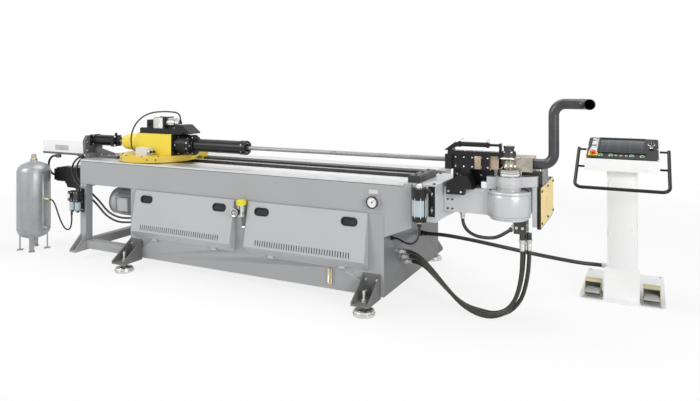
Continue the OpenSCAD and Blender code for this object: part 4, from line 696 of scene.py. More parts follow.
# A turned step over the drum's rim and a thin band over its foot
piece("drum_bands", "drum_housing", DRUM_SILVER,
      each(turned, *DIE_AXIS, 866, "z", [(139, 0), (142.5, 0), (142.5, 10), (140, 14), (134, 14), (134, 0), (139, 0)],
           64),
      each(collar, *DIE_AXIS, 706, "z", 139.5, 142.2, 9, steps=64))
piece("sensor_block", "head_beam", CONSOLE_WHITE, bricks(((640, 214, 879), (702, 262, 926)), eased=3),
      bricks(((648, 262, 879), (694, 330, 900)), eased=2))
# The bright ring round the die's hub, the collars above and below the die's groove, and the clamp nut's washer
piece("hub_ring", "arm_casting", DRUM_SILVER, each(collar, *DIE_AXIS, 925, "z", 86, 93, 34, 2, 64, 89))
piece("die_rings", "bend_die", CHROME, each(collar, *DIE_AXIS, 982, "z", 70, 78, 18, 2, 64, 74),
      each(collar, *DIE_AXIS, 1002, "z", 70, 76.5, 8, 1, 64, 74),
      each(collar, *DIE_AXIS, 1108.5, "z", 47.2, 49, 0.9, steps=48), slot="tool_steel")
piece("nut_grips", "die_post", CHROME,
      spokes((*DIE_AXIS, 0), "Z", range(0, 360, 60), (5, 12, 7), (47.5, 0, 1142), 1), slot="black_steel")
piece("arm_screws", "arm_guard", BLUED_STEEL, each(hex_bolt, 1035.7, (295, 555, 815), (657, 876), "x", 8.5, 6),
      each(cap_screw, 1019, (310, 420, 560, 700, 800), 903, "z", 5.5, 5))
piece("arm_pads", "arm_casting", LIP_STEEL,
      bricks(((985, 276, 903), (1004, 344, 908)), ((985, 668, 903), (1004, 830, 908)), eased=1.5))

# The adjusting spindles behind the pressure slide have a hexagon each
piece("slide_screws", "pressure_slide", GROUND_STEEL,
      each(cap_screw, (430, 520, 610, 676), 350, 952, "-y", 8, 5),
      each(cap_screw, (424, 676), 476, 1007.7, "z", 8, 5))
piece("slide_spindles", "pressure_slide", ZINC, each(rod, (455, 640), 455, 1007.7, "z", 26, 9),
      each(hexagon, (455, 640), 455, 1018, "z", 9, 16, 1.5))
piece("wiper_screws", "wiper_die", GROUND_STEEL,
      each(cap_screw, (460, 520, 580, 640, 688), 216, (1026, 1090), "-y", 6.5, 5),
      each(cap_screw, (428, 517), 150, 855, "-y", 8, 6))
# The cross clamp that holds the wiper's shank, and its nut
piece("wiper_clamp", "wiper_die", DIE_BRONZE, bricks(((596, 205, 1012), (640, 216, 1104)), eased=2),
      each(hexagon, 618, 205, 1058, "-y", 12, 11, 1.5))
# Air fittings of the tie cylinder, with their bent ends
piece("tie_fittings", "tie_cylinder", ZINC, each(hexagon, (500, 684), 228.5, 1201, "z", 5, 8.5),
      each(rod, (500, 684), 228.5, 1206, "z", 12, 5),
      each(rod, (498, 682), 228.5, 1216, (0.9, 0, 0.25), 16, 5, eased=1))
piece("tie_screws", "tie_bar", GROUND_STEEL, each(cap_screw, (520, 586, 660, 740), 228.5, 1136, "z", 7.5, 6))
piece("clamp_screws", "clamp_slide", GROUND_STEEL, each(cap_screw, (908, 946, 984), 345, 960, "-y", 8, 5),
      each(cap_screw, 1010, (380, 470, 560), 1004, "z", 8, 6))
piece("clamp_cylinder_caps", "clamp_slide", CHROME, each(collar, 946, 612, 960, "y", 20, 25, 13, 1),
      each(turned, 946, 648, 960, "y", [(0, 14), (14, 14), (24, 11), (24, 0), (20, 0), (20, 11), (0, 12)]),
      slot="tool_steel")
# Valve block, plugs and elbows that crowd the swivel manifold under the drum
piece("manifold_plugs", "swivel_manifold", ZINC, bricks(((862, 182, 612), (870.3, 264, 676)), eased=2),
      each(hexagon, 862.2, (196, 222, 248), 640, "-x", 12, 9),
      each(cap_screw, 952, (188, 256), (618, 662), "x", 6, 5),
      each(hexagon, (890, 930), 174, 640, "-y", 9, 11, 1.2),
      each(rod, (890, 930), 166, 640, "-y", 14, 6.5, eased=1))

# ---- bed, cabinet, doors ----

# The doors' skin leans out by 63 mm over 342 mm of height, from 12 mm in front of the cabinet at their top
LEAN = math.atan2(63, 342)
LEAN_TURN = Matrix(((1, 0, 0), (0, math.sin(LEAN), -math.cos(LEAN)), (0, math.cos(LEAN), math.sin(LEAN)))).to_4x4()


def skin(z):
    return -12 - 63 * (678 - z) / 342


def door_face(x, z, out=0.0):
    """A frame on a door's sloping skin: its Z points out of the skin, its Y up the slope."""
    return Matrix.Translation((x, skin(z), z)) @ LEAN_TURN @ Matrix.Translation((0, 0, out))


# Each door has moulded pulls with a sunk grip drawn as a dark bar of painted shade, a pressed hood along each
# louvre, a black sheet of painted shade behind the louvres, and a folded flange along its top
LOUVRES = 38
for node, (left, width) in DOORS.items():
    pulls = (left + 138, left + width - 138)
    pitch = (width - 208) / LOUVRES
    shade_sheet = [(skin(z) + t, z) for z, t in ((346, 8), (400, 8), (400, 9.5), (346, 9.5))]
    piece(node + "_pulls", node, BLACK_PLASTIC,
          many(plate, [(door_face(x, 608, -1), 132, 64, 5.5, 31.5, 5, 12) for x in pulls]))
    # The grip is a dark bar of painted shade set back in each pull
    piece(node + "_grips", node, PAINTED_SHADE_BLACK,
          many(plate, [(door_face(x, 618, -6), 104, 12, 4, 5.8) for x in pulls]))
    piece(node + "_hoods", node, DOOR_GREY,
          many(slab, [(door_face(left + 104 + i * pitch - 2.6, 373) @ turn(20, "Y"), (5.2, 42, 1.4), (0, 0, 0.6))
                      for i in range(LOUVRES)]))
    # A black sheet of painted shade behind the louvres' openings
    piece(node + "_baffle", node, PAINTED_SHADE_BLACK, many(prism, [(shade_sheet, "x", left + 60, left + width - 60)]))
    piece(node + "_flange", node, DOOR_GREY,
          bricks(((left + 1, -13.2, 672), (left + width - 1, -11.6, 678)), eased=0.5, segments=1))


def rack_teeth(bm):
    """The straight rack's teeth, one comb along the bed's channel."""
    start, pitch, count, root, tip, base = -2976, 12.57, 244, 889.6, 895.4, 887
    outline = [(start - 4, root - 0.1)]
    for i in range(count):
        x = start + i * pitch
        outline += [(x, root), (x + 2.2, tip), (x + 5.6, tip), (x + 7.8, root)]
    end = start + count * pitch
    prism(bm, outline + [(end, root - 0.1), (end, base), (start - 4, base)], "y", 578, 602)


# Ground strips along the bed's top, with dark joints between them and along the front edge
piece("bed_lips", "bed_beam", LIP_STEEL,
      many(brick, [((-3052, y0, 906.8), (146, y1, 908.2)) for y0, y1 in ((3, 46), (54, 176), (764, 886), (894, 953))],
           eased=0.4, segments=1),
      bricks(((-3052, -1.2, 893), (146, 1, 906)), eased=0.4, segments=1), slot="tool_steel")
# The joints are black strips: partly their own dark colour, partly painted shade down in the grooves
piece("bed_grooves", "bed_beam", PAINTED_SHADE_BLACK,
      bricks(((-3050, 46.5, 906.9), (146, 53.5, 907.4)), ((-3050, 886.5, 906.9), (146, 893.5, 907.4)),
             ((-3050, -0.9, 889), (150, 0.5, 892))))
piece("rack_teeth", "guide_rails", GROUND_STEEL, rack_teeth, angle=20, slot="rail_steel")
# Flush plugs over the rails' fixing screws
piece("rail_caps", "guide_rails", ZINC,
      each(rod, range(-2956, 45, 120), (215, 725), 897.6, "z", 0.65, 6, sides=12), slot="rail_steel")
# The painted floor of the channel between the rails
piece("channel_liner", "bed_beam", COVER_GREY,
      bricks(((-3040, 236, 861.5), (140, 570, 862.6)), ((-3040, 610, 861.5), (140, 704, 862.6)), eased=0.3,
             segments=1))

FEET = ((-92, -2355), (-138, 1374))
BRACKET_BOLTS = (-138, -46, -2401, -2309)
piece("bracket_bolts", "foot_brackets", ZINC, each(hex_bolt, BRACKET_BOLTS, -12, (120, 205), "-y", 9.5, 7),
      each(hex_bolt, BRACKET_BOLTS, 1248, (120, 205), "y", 9.5, 7))
piece("levelling_nuts", "levelling_feet", ZINC, each(rod, *FEET, (58, 90), "z", 3, 24),
      each(hexagon, *FEET, (61, 93), "z", 13, 19, 2), each(rod, *FEET, 104, "z", 38, 10.5, 9, sides=20))
piece("pad_rings", "levelling_feet", GROUND_STEEL,
      each(turned, *FEET, 36, "z", [(60, 0), (57, 4), (34, 8), (30, 12), (16, 12), (16, 0), (60, 0)], 40),
      slot="zinc_steel")

# The pressure gauge has scale marks all round, a longer one at every fifth, and a needle on its hub
GAUGE_MARKS = range(31)
GAUGE_FACE = standing((-79, -35.3, 763), "-y")
piece("gauge_rim", "oil_gauges", BLACK_STEEL,
      each(turned, -79, -28, 763, "-y", [(42.5, 0), (45, 3), (45, 9), (41, 12), (36, 9), (36, 0), (42.5, 0)], 48))
piece("gauge_dial", "oil_gauges", DIAL_WHITE, each(rod, -79, -30, 763, "-y", 5.2, 37, sides=48))
piece("gauge_marks", "oil_gauges", BLACK_PLASTIC,
      spokes(GAUGE_FACE, "Z", [225 - 9 * i for i in GAUGE_MARKS if i % 5 == 0], (8, 1.6, 0.5), (29, 0, 0.2)),
      spokes(GAUGE_FACE, "Z", [225 - 9 * i for i in GAUGE_MARKS if i % 5], (4, 0.9, 0.5), (31, 0, 0.2)),
      spokes(GAUGE_FACE, "Z", [40], (34, 2.4, 0.7), (10, 0, 0.9)),
      each(rod, -79, -35.4, 763, "-y", 3, 5, sides=20, eased=0.6))
piece("blank_plate", "oil_gauges", ZINC, many(plate, [(standing((-79, -4, 836), "-y"), 74, 30, 1.6, 3, 2.5, 0.6)]))
piece("sight_window", "oil_gauges", OIL_AMBER, bricks(((-433, -23.5, 152), (-415, -12, 224)), eased=2))
piece("sight_screws", "oil_gauges", BRASS, each(hexagon, -424, -22, (141, 235), "-y", 6, 11, 1.2),
      each(rod, -424, -28, (141, 235), "-y", 2, 7, sides=20, eased=0.6))

# Knurled cap of the filler with its raised boss, rings down its neck, and the valve knob's bright rim
FILLER_AXIS = (-1203, -42)
piece("filler_cap", "filler_breather", SWIVEL_YELLOW,
      each(rod, *FILLER_AXIS, 686, "z", 6, 34, 30, sides=36, eased=1.5),
      spokes((*FILLER_AXIS, 669), "Z", range(0, 360, 15), (2.4, 5, 26), (38.3, 0, 0)))
piece("filler_rings", "filler_breather", CHROME,
      many(collar, [((*FILLER_AXIS, z), "z", r - 5, r, 6, 1, 36)
                    for z, r in ((646, 30), (612, 27.5), (572, 27.5), (560, 29))]),
      each(turned, -1181, -42, 470, "z", [(0, 0), (9, 0), (16, 4), (16, 14), (13.5, 18), (0, 18)], 28))
piece("knob_rim", "valve_knob", CHROME,
      each(turned, -1225, -104, 600, "-y", [(26, 0), (32.5, 0), (32.5, 3), (30, 5), (26, 3.5), (26, 0)], 48),
      each(rod, -1225, -106, 600, "-y", 4, 9, eased=1), each(collar, -1225, -106, 600, "-y", 14, 18, 1.5, steps=36))

# Round heads on both ends of the door hinges' pins
HINGES = [left + share * width for left, width in DOORS.values() for share in (0.2, 0.8)]
piece("hinge_caps", "cabinet_shell", ZINC,
      many(rod, [((x + end * 40.3, -8, 257), (end, 0, 0), 2.5, 4.5) for x in HINGES for end in (-1, 1)], sides=16,
           eased=0.8))
# Two screwed covers with breathing slots over the cabinet's back, and one on its tail end
piece("back_covers", "cabinet_shell", DOOR_GREY,
      bricks(((-2300, 1235, 180), (-1260, 1239, 600)), ((-1160, 1235, 180), (-120, 1239, 600)),
             ((-2427, 420, 180), (-2422, 1100, 410)), eased=1.5))
piece("cover_screws", "cabinet_shell", ZINC,
      each(rod, (-2282, -1780, -1278, -1142, -640, -138), 1239, (198, 582), "y", 2.6, 7, sides=16, eased=0.8),
      each(rod, -2427, (438, 760, 1082), (198, 392), "-x", 2.6, 7, sides=16, eased=0.8))
# The breathing slots are black strips of painted shade on the covers
piece("cover_slots", "cabinet_shell", PAINTED_SHADE_BLACK,
      many(brick, [((x, 1238.6, 520), (x + 7, 1239.5, 562)) for start in (-2160, -1020)
                   for x in range(start, start + 760, 20)], eased=0.2, segments=1))

# ---- carriage, chuck, mandrel gear ----

# Dark screws round the swivelling plate's rim and through its edge, and the step turned round that edge
PLATE_AXIS = (-2400, 325)
piece("plate_screws", "carriage_plate", BLUED_STEEL,
      ring(cap_screw, (*PLATE_AXIS, 967), "z", 322, (20, 60, 100, 140, 214, 228, 252, 286, 312, 340), "z", 9, 5))
piece("plate_groove", "carriage_plate", PLATE_YELLOW,
      *(spokes((*PLATE_AXIS, z), "Z", range(184, 356, 4), (2.4, 25, 2.2), (345, 0, 0)) for z in (929, 953)))
piece("edge_screws", "carriage_plate", BLUED_STEEL,
      ring(rod, (*PLATE_AXIS, 941), "z", 343, (232, 244, 296, 308), "out", 5, 6.5, sides=16, eased=1))
piece("gearbox_screws", "carriage_gearbox", BLUED_STEEL,
      each(cap_screw, (-2525, -2420, -2315, -2210), (203, 397), 1155, "z", 6.5, 5),
      each(cap_screw, -2135, (206, 394), (990, 1132), "x", 7, 6))
# The dark notched ring plate between the gearbox and the chuck
piece("flange_frame", "carriage_gearbox", BLUED_STEEL,
      spokes((-2131, *PIPE_AXIS), "X", range(15, 375, 30), (7, 8, 22), (0, 88, 0), 1.5),
      bricks(((-2136, 192, 969), (-2131.5, 408, 974)), ((-2136, 192, 1146), (-2131.5, 408, 1151)),
             ((-2136, 192, 974), (-2131.5, 197, 1146)), ((-2136, 403, 974), (-2131.5, 408, 1146)), eased=1))
piece("bell_rings", "carriage_gearbox", SAFETY_YELLOW,
      each(collar, (-2562, -2620, -2688), *PIPE_AXIS, "-x", 73, 76.8, 8, 1.5, 48))

# The servo motor's bright side plate with its ribs and screws, its top, and its encoder's cap with a round plug
piece("servo_cladding", "spindle_drive", ZINC,
      many(brick, [((-2372, 226.5, z), (-2270, 229.9, z + 4)) for z in range(1214, 1292, 9)], eased=1),
      each(cap_screw, (-2374, -2268), 230, (1212, 1292), "-y", 4.5, 4))
piece("servo_top", "spindle_drive", BLUED_STEEL, bricks(((-2376, 236, 1299), (-2266, 320, 1302.5)), eased=1.2),
      each(rod, (-2352, -2312), 300, 1302, "z", 6, 14, 12, sides=28, eased=1.5))
piece("encoder_cap", "spindle_drive", BLACK_PLASTIC, bricks(((-2468, 242, 1273), (-2384, 316, 1278)), eased=2),
      each(rod, -2440, 240.2, 1240, "-y", 10, 15, 13, sides=28, eased=2),
      each(turned, -2440, 232, 1240, "-y", [(11, 0), (13, 0), (13, 7), (11, 8), (11, 0)], 18),
      each(rod, -2410, 241, 1228, "-y", 3, 5, sides=12, eased=0.8))
# Rings and clamp screws on the coupling behind the servo's flange
COUPLING_AXIS = (278, 1255)
piece("coupling_rings", "spindle_drive", CHROME,
      each(collar, (-2232, -2206, -2166), *COUPLING_AXIS, "x", 38, 44.4, 8, 1, 36),
      each(collar, (-2140, -2120), *COUPLING_AXIS, "x", 24, 30.4, 8, 1, 36),
      ring(rod, (-2186, *COUPLING_AXIS), "x", 41, (200, 270, 340), "out", 5, 5.5, sides=12, eased=1))
piece("drive_screws", "spindle_drive", BLUED_STEEL,
      each(cap_screw, (-2515, -2424, -2060), (232, 348), 1203, "z", 6, 5),
      each(cap_screw, range(-2500, -2099, 100), 220, 1179, "-y", 5.5, 4))
# Folded edges and a brush strip on the sloping hood over the chuck
HOOD_EDGE = [(-2120, 1235), (-2040, 1235), (-1947, 1167), (-1945, 1171), (-2039, 1240), (-2120, 1240)]
piece("hood_seams", "spindle_drive", BLACK_STEEL, many(prism, [(HOOD_EDGE, "y", y, y + 3) for y in (219, 358)]),
      bricks(((-1960, 224, 1163), (-1951, 356, 1172)), eased=2))
# Lid of the junction box with its four screws, and the plugs' knurled nuts
piece("junction_lid", "cable_junction", PALE_KEY, bricks(((-2477, 113, 1029), (-2353, 186, 1032)), eased=1.5),
      each(rod, (-2469, -2361), (121, 178), 1032, "z", 2, 4, sides=16, eased=0.6))
piece("junction_nuts", "cable_junction", ZINC,
      each(turned, -2350, (128, 165), 997, "x", [(8, 0), (16, 0), (16, 7), (12.5, 9), (12.5, 24), (14.5, 26),
                                                 (14.5, 34), (8, 34), (8, 0)], 16))

piece("chuck_screws", "chuck_collar", ZINC,
      ring(rod, (-2110, *PIPE_AXIS), "x", 87, range(0, 360, 60), "out", 5, 6, sides=14, eased=1),
      ring(rod, (-1985, *PIPE_AXIS), "x", 87, range(15, 375, 30), "out", 5, 6, sides=14, eased=1),
      ring(cap_screw, (-1958, *PIPE_AXIS), "x", 81, range(0, 360, 60), "x", 5.5, 5))
piece("chuck_bands", "chuck_collar", BLACK_STEEL,
      each(collar, (-2134, -2044, -2004, -1967), *PIPE_AXIS, "x", 88, 91.6, 5, 0.8, 64))
piece("nose_bands", "nose_tube", BLACK_STEEL,
      each(collar, (-1936, -1700, -1460), *PIPE_AXIS, "x", 55, 58.2, 6, 1, 64))
piece("nose_screws", "nose_tube", ZINC,
      ring(rod, (-1421, *PIPE_AXIS), "x", 58, range(30, 390, 60), "out", 5, 5, sides=14, eased=1))

TIE_RODS = ((260, 340), (1020, 1100))
piece("tie_rod_nuts", "mandrel_cylinder", ZINC, each(hexagon, (-3183, -2903), *TIE_RODS, "x", 8, 9.5),
      each(rod, -2895, *TIE_RODS, "x", 6, 5.5, sides=14, eased=0.8))
piece("cylinder_ports", "mandrel_cylinder", BLUED_STEEL, each(hexagon, -2922, 300, 1130, "z", 7, 10),
      each(hexagon, -3199, 248, 1060, "-y", 6, 11),
      each(turned, -2880, *PIPE_AXIS, "x", [(20, 0), (33, 0), (33, 3), (29, 8), (20, 8), (20, 0)], 40))
piece("end_plate_bolts", "mandrel_support", ZINC, each(hex_bolt, -3215, (216, 384), (960, 1040), "x", 8, 6),
      each(cap_screw, (-2830, -2930, -3030), (222, 378), 927, "z", 7, 6))


def cover_strips(bm, xs, length, thick, low, high):
    """Strips up both sloping sides of the tail cover, between two (offset from its middle, height) points."""
    middle = PIPE_AXIS[0]
    for x in xs:
        for side in (-1, 1):
            outline = (low, (low[0] + thick, low[1]), (high[0] + thick, high[1]), high)
            prism(bm, [(middle + side * out, z) for out, z in outline], "x", x, x + length)


# Beads, vents and screws of the tail cover
piece("cover_trim", "mandrel_cover", COVER_GREY,
      many(cover_strips, [((-3818, -3256), 5, 1.4, (100.2, 934), (107.9, 1050))]),
      many(rod, [((x, 300 + side * (101 + (z - 934) * 0.067), z), (0, side, 0), 2.6, 5.5)
                 for x in (-3780, -3290) for z in (950, 1020) for side in (-1, 1)], sides=16, eased=0.8),
      each(rod, (-3780, -3290), (240, 360), 1100, "z", 2.4, 5.5, sides=16, eased=0.8))
# The vents are black strips of painted shade up the cover's sides
piece("cover_vents", "mandrel_cover", PAINTED_SHADE_BLACK,
      many(cover_strips, [(range(-3640, -3463, 16), 6, 1.2, (101.2, 950), (104.2, 1000))]))
# Cooling ribs and screws on the feed motor
piece("feed_ribs", "feed_motor", BLACK_STEEL,
      many(brick, [corners for x in range(-3545, -3442, 17)
                   for corners in (((x, 142.5, 662), (x + 7, 145, 780)), ((x, 150, 785.5), (x + 7, 270, 788.5)))],
           eased=1),
      each(cap_screw, (-3400, -3100), 130, (656, 784), "-y", 6, 5), slot="frame_paint")

# ---- console and pedals ----

def flat(bm, u0, v0, u1, v1, low, high, eased=0.0):
    """A block on the sloping panel: u to the right, v up the slope, between two heights out of its face."""
    slab(bm, PANEL, (u1 - u0, v1 - v0, high - low), ((u0 + u1) / 2, (v0 + v1) / 2, (low + high) / 2), eased)


def on_face(bm, point, profile, steps=28):
    """A turned part standing on the panel at (u, v, height)."""
    turned(bm, PANEL @ Vector(point), PANEL.to_3x3() @ Vector((0, 0, 1)), profile, steps)


# Places on the panel: along it for the row of buttons and lamps, (u, v) for the stop button and the selector
BUTTONS, LAMPS = (108, 178, 320, 390), (213, 248, 283)
STOP, SELECTOR = (52, 80), (450, 290)


def stop_arrows(bm):
    """Three raised arrows round the stop button's ring, showing which way it turns."""
    for angle in (0, 120, 240):
        bmesh.ops.create_cone(bm, cap_ends=True, segments=3, radius1=4, radius2=3.4, depth=1,
                              matrix=PANEL @ Matrix.Translation((*STOP, 9.2)) @ turn(angle, "Z")
                              @ Matrix.Translation((27, 0, 0.4)))


piece("screen_glass", "control_panel", SCREEN_GLASS, many(flat, [(93, 119, 401, 381, 8, 9.4, 0.5)]))
piece("screen_rim", "control_panel", BLACK_PLASTIC,
      many(flat, [(*corners, 10.9, 12.2, 0.5) for corners in (
          (80, 106, 414, 117), (80, 383, 414, 394), (80, 117, 91, 383), (403, 117, 414, 383))]))
piece("button_bezels", "control_panel", CHROME,
      each(on_face, BUTTONS, 62, 6, [(13, 0), (17, 0), (17, 2.2), (15.5, 3.4), (13, 3.4), (13, 0)]),
      each(on_face, LAMPS, 62, 6, [(7, 0), (9.5, 0), (9.5, 2), (8.5, 3), (7, 3), (7, 0)], 20))
piece("lamp_domes", "control_panel", AMBER_LAMP,
      each(on_face, LAMPS, 62, 6.5, [(0, 5), (3.5, 4.4), (6, 2.6), (7, 0), (0, 0)], 20))
piece("stop_marks", "control_panel", BLACK_PLASTIC, stop_arrows,
      each(on_face, *STOP, 9, [(17, 0), (20, 0), (20, 1.4), (17, 2.2), (17, 0)], 32))
piece("knob_ring", "control_panel", CHROME,
      each(on_face, *SELECTOR, 6, [(20, 0), (25, 0), (25, 1.5), (22, 3), (20, 3), (20, 0)], 36),
      spokes(PANEL @ Matrix.Translation((*SELECTOR, 6)), "Z", range(-30, 211, 30), (5, 1.2, 0.8), (30, 0, 0.4)))
# The key switch: a slotted barrel with the key left in it
piece("key_switch", "control_panel", CHROME,
      each(on_face, 450, 210, 14, [(0, 0), (12, 0), (12, 2), (9.5, 4), (0, 4)], 24),
      many(flat, [(448.8, 201, 451.2, 219, 17.5, 40, 0.6), (448.8, 198, 451.2, 222, 34, 56, 0.8)]))
piece("key_tops", "control_panel", PALE_KEY,
      many(flat, [(36, v + 2, 62, v + 22, 8.9, 10.6, 0.7) for v in (200, 250, 300, 350)]))
piece("panel_screws", "control_panel", CHROME,
      each(on_face, (12, 493), (14, 205, 396), 5.8, [(0, 0), (5, 0), (4.6, 1.6), (3, 2.4), (0, 2.4)], 16))

# The column's inspection cover with its hinges and locks, the weld bead round its foot, and the box's cooling slots
piece("column_door", "console_stand", CONSOLE_WHITE,
      many(slab, [(Matrix.Translation((1505, 999.3, 485)), (176, 3, 860))], eased=1.2),
      each(rod, 1415, 997.5, (106, 461, 816), "z", 48, 4.5, sides=14, eased=0.8),
      many(brick, [((1413.5, 998.2, z), (1434, 1000, z + 48)) for z in (106, 461, 816)], eased=0.4, segments=1))
piece("column_lock", "console_stand", CHROME,
      each(turned, 1578, 997.8, 520, "-y", [(0, 3.5), (6, 3.5), (8.5, 2.5), (9.5, 0), (0, 0)], 24),
      bricks(((1573, 993.6, 519), (1583, 994.6, 521))),
      each(turned, 1682.5, 900, 982, "-y", [(0, 3), (6, 3), (9, 2), (10, 0), (0, 0)], 24))
piece("toe_weld", "console_stand", CONSOLE_WHITE,
      many(brick, [((x0, y0, 11.5), (x1, y1, 16.5)) for x0, y0, x1, y1 in (
          (1396, 996, 1614, 1001), (1396, 1209, 1614, 1214), (1396, 1001, 1401, 1209), (1609, 1001, 1614, 1209))],
           eased=2.2))
# The cooling slots are black strips of painted shade
piece("box_vents", "console_box", PAINTED_SHADE_BLACK,
      many(brick, [((x - 0.5, y, 990), (x + 0.5, y + 5, 1040)) for x in (1252.2, 1757.8)
                   for y in range(1090, 1219, 16)], eased=0.4, segments=1))
piece("floor_bolts", "console_stand", ZINC, each(hex_bolt, (1240, 1770), (890, 1640), 12, "z", 9, 7))

# Grip ribs across each pedal's pad, which falls by 14 mm over its 187 mm
RISE, RUN = -14, 187
for node, x in (("pedal_left", 1305), ("pedal_right", 1705)):
    ribs = [Matrix.Translation((x, 877 + share * RUN, 66 + share * RISE))
            for share in [0.08 + i * 0.085 for i in range(9)]]
    piece(node + "_ribs", node, PEDAL_GREY,
          many(slab, [(rib @ Matrix.Rotation(math.atan2(RISE, RUN), 4, "X"), (84, 5, 3.2)) for rib in ribs],
               eased=1.2))

# ---- motor, air units, tank ----

# Fins round the motor and its fan cowl's ring, and the rings and spokes over the fan
piece("motor_fins", "pump_motor", MOTOR_GREY,
      spokes((-2700, *MOTOR_AXIS), "X", range(0, 360, 10), (230, 9, 2.6), (0, 126.5, 0), 0.7, 1),
      each(turned, -2884, *MOTOR_AXIS, "-x", [(112, 0), (124, 0), (121, 4), (112, 6), (112, 0)], 56))
piece("fan_grille", "pump_motor", BLACK_STEEL,
      many(collar, [((-2889, *MOTOR_AXIS), "-x", r - 3, r + 3, 2.2, 0, 40) for r in (28, 48, 68, 88, 106)]),
      spokes((-2890, *MOTOR_AXIS), "X", range(0, 360, 45), (2, 88, 5), (0, 66, 0)))
piece("terminal_lid", "pump_motor", MOTOR_GREY, bricks(((-2736, 141, 437), (-2614, 145.5, 549)), eased=2),
      each(rod, (-2728, -2622), 141.2, (445, 541), "-y", 2.2, 4.5, sides=14, eased=0.6),
      each(hexagon, -2650, 175, 433, "-z", 14, 13, 1.5),
      each(rod, -2650, 175, 419, "-z", 9, 9, sides=20, eased=1.5))

# Rims of the service unit's bowls, its knob's grip ring, and its gauge
BOWLS = (-3096, -3026)
piece("unit_caps", "left_filter_unit", BLACK_PLASTIC,
      each(turned, BOWLS, -52, 522, "z", [(22, 0), (29, 0), (29, 8), (26, 9), (22, 9), (22, 0)]),
      each(turned, BOWLS, -52, 441, "z", [(18, 0), (26.8, 0), (27.4, 6), (18, 6), (18, 0)]),
      each(turned, -3026, -52, 640, "z", [(15, 0), (21.5, 0), (21.5, 9), (19, 13), (15, 13), (15, 0)], 18))
piece("unit_gauge", "left_filter_unit", CHROME,
      each(turned, -3096, -97, 580, "-y", [(17, 0), (22, 0), (22, 4), (20, 6), (17, 5), (17, 0)]))
piece("unit_dial", "left_filter_unit", DIAL_WHITE, each(rod, -3096, -99, 580, "-y", 2, 18, sides=32))
piece("unit_screws", "left_filter_unit", ZINC,
      each(rod, (-3114, -3078, -3044, -3008), -81.5, (540, 610), "-y", 4, 3.8, sides=12, eased=0.6),
      each(cap_screw, -3022, -6, (445, 515), "-y", 6, 5))

# Clamp rings at both ends of the lubricator's clear bowl, bright tie rods down it, and its drain
LUBRICATOR_AXIS = (282, -48)
piece("lubricator_rings", "right_filter_unit", BLACK_PLASTIC,
      *(each(turned, *LUBRICATOR_AXIS, z, "z", [(40, 0), (48.5, 0), (49.5, 3), (49.5, rim), (48.5, rim + 3),
                                                (40, rim + 3), (40, 0)], 48) for z, rim in ((816, 17), (688, 14))),
      ring(hexagon, (*LUBRICATOR_AXIS, 894), "z", 44, range(45, 405, 90), "z", 6, 5.5, 0.8))
piece("lubricator_rods", "right_filter_unit", CHROME,
      ring(rod, (*LUBRICATOR_AXIS, 694), "z", 48, (200, 250, 300, 350), "z", 136, 2.6, sides=12),
      each(hexagon, *LUBRICATOR_AXIS, 920, "z", 4, 17))
piece("lubricator_drain", "right_filter_unit", BRASS,
      each(hexagon, *LUBRICATOR_AXIS, 654, "z", 12, 19, 1.5))
piece("bracket_screws", "right_filter_unit", ZINC, each(rod, 346, 22, (735, 850), "-y", 3, 9, sides=20, eased=0.6),
      each(hexagon, 346, 19, (735, 850), "-y", 6, 6.5, 0.8))

# Weld beads where the tank's domed ends meet its rolled shell, the shell's long seam, its sockets and its crown
TANK_RADIUS, SEAM_ANGLE = 150, 2.2
piece("tank_seams", "air_tank", TANK_SILVER,
      each(turned, *TANK_AXIS, (199, 755), "z", [(147, 0), (151.4, 1), (152, 3), (151.4, 5), (147, 6), (147, 0)], 72),
      ring(rod, (*TANK_AXIS, 205), "z", TANK_RADIUS, [math.degrees(SEAM_ANGLE)], "z", 550, 2.6, sides=8),
      each(turned, -3556, 0, (500, 226), "x", [(9, 0), (18, 0), (14, 9), (11, 11), (9, 11), (9, 0)], 24),
      each(turned, *TANK_AXIS, 846, "z", [(28, 0), (44, 0), (40, 5), (34, 9), (28, 9), (28, 0)], 40))
# Safety valve on the crown: a hexagon and a bonnet
piece("tank_valve", "air_tank", BRASS,
      each(turned, *TANK_AXIS, 878, "z", [(0, 0), (26, 0), (26, 5), (24, 7), (0, 7)], 6),
      each(turned, *TANK_AXIS, 918, "z", [(0, 0), (15, 0), (15, 4), (11, 6), (11, 9), (0, 9)], 24))
piece("foot_bolts", "air_tank", ZINC, ring(hex_bolt, (*TANK_AXIS, 6), "z", 103, range(45, 405, 90), "z", 6, 5))
# Bolts joining the end stand to the bed, and screws of the bed's stop
piece("stand_bolts", "end_stand", ZINC, each(hex_bolt, (-3038, -2999), 0, 664, "-y", 8, 6),
      each(hex_bolt, (-3038, -2999), 956, (600, 660), "y", 8, 6))
piece("stop_screws", "bed_beam", BLUED_STEEL, each(cap_screw, 195, (130, 265, 400), 957, "z", 9, 7))

# ---- floor, light ----

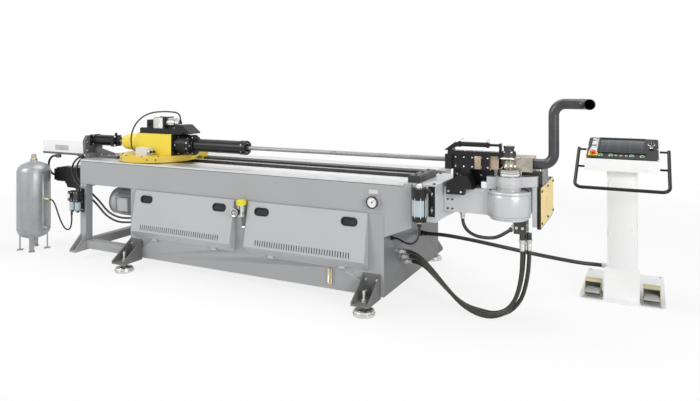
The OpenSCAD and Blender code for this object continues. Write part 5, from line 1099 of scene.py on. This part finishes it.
def seen_directly(tree):
    """One for rays from the camera, from gloss and through glass, which all see a white background."""
    rays = add(tree, "ShaderNodeLightPath").outputs
    seen = calc(tree, "MAXIMUM", rays["Is Camera Ray"], rays["Is Glossy Ray"])
    return calc(tree, "MAXIMUM", seen, rays["Is Transmission Ray"])


def make_floor():
    """A pale floor that reads as white to the camera further out, and keeps the machine's shadow close by."""
    bm = bmesh.new()
    bmesh.ops.create_grid(bm, x_segments=1, y_segments=1, size=60)
    mesh = bpy.data.meshes.new("floor")
    bm.to_mesh(mesh)
    bm.free()
    show("floor", mesh)
    made, tree, shader = new_material("pale_floor")
    for label, value in (("Base Color", (0.88, 0.88, 0.88, 1)), ("Roughness", 0.9), ("Specular IOR Level", 0.1)):
        wire(tree, shader.inputs[label], value)
    white = add(tree, "ShaderNodeEmission", in_Strength=1.0)
    distance = add(tree, "ShaderNodeVectorMath", on_object(tree), operation="LENGTH").outputs["Value"]
    whiteness = calc(tree, "MULTIPLY", ramp(tree, distance, 3.2, 7.0, 0.82, 1.0), seen_directly(tree))
    blend = add(tree, "ShaderNodeMixShader", whiteness)
    for number, source in ((1, shader), (2, white)):
        wire(tree, blend.inputs[number], source.outputs[0])
    wire(tree, tree.nodes["Material Output"].inputs["Surface"], blend.outputs[0])
    mesh.materials.append(made)


make_floor()
world = bpy.data.worlds.new("studio")
scene.world = world
world.use_nodes = True
sky = world.node_tree
background = sky.nodes["Background"].inputs
background["Color"].default_value = (1, 1, 1, 1)
wire(sky, background["Strength"], ramp(sky, seen_directly(sky), 0.0, 1.0, 0.42, 1.0))


def lamp(name, place, aim, size, power):
    data = bpy.data.lights.new(name, "AREA")
    data.shape = "RECTANGLE"
    data.size, data.size_y = size
    data.energy = power
    made = show(name, data)
    made.location = place
    made.rotation_euler = (Vector(aim) - Vector(place)).to_track_quat("-Z", "Y").to_euler()


lamp("key", (-4.0, -6.0, 4.2), (-0.5, 0, 0.6), (3, 2.5), 190)
lamp("fill", (6.5, -4.8, 2.8), (1.2, 0, 0.5), (3, 2.5), 230)
lamp("top", (0, 0.5, 5.5), (0, 0, 0.8), (6, 3), 170)
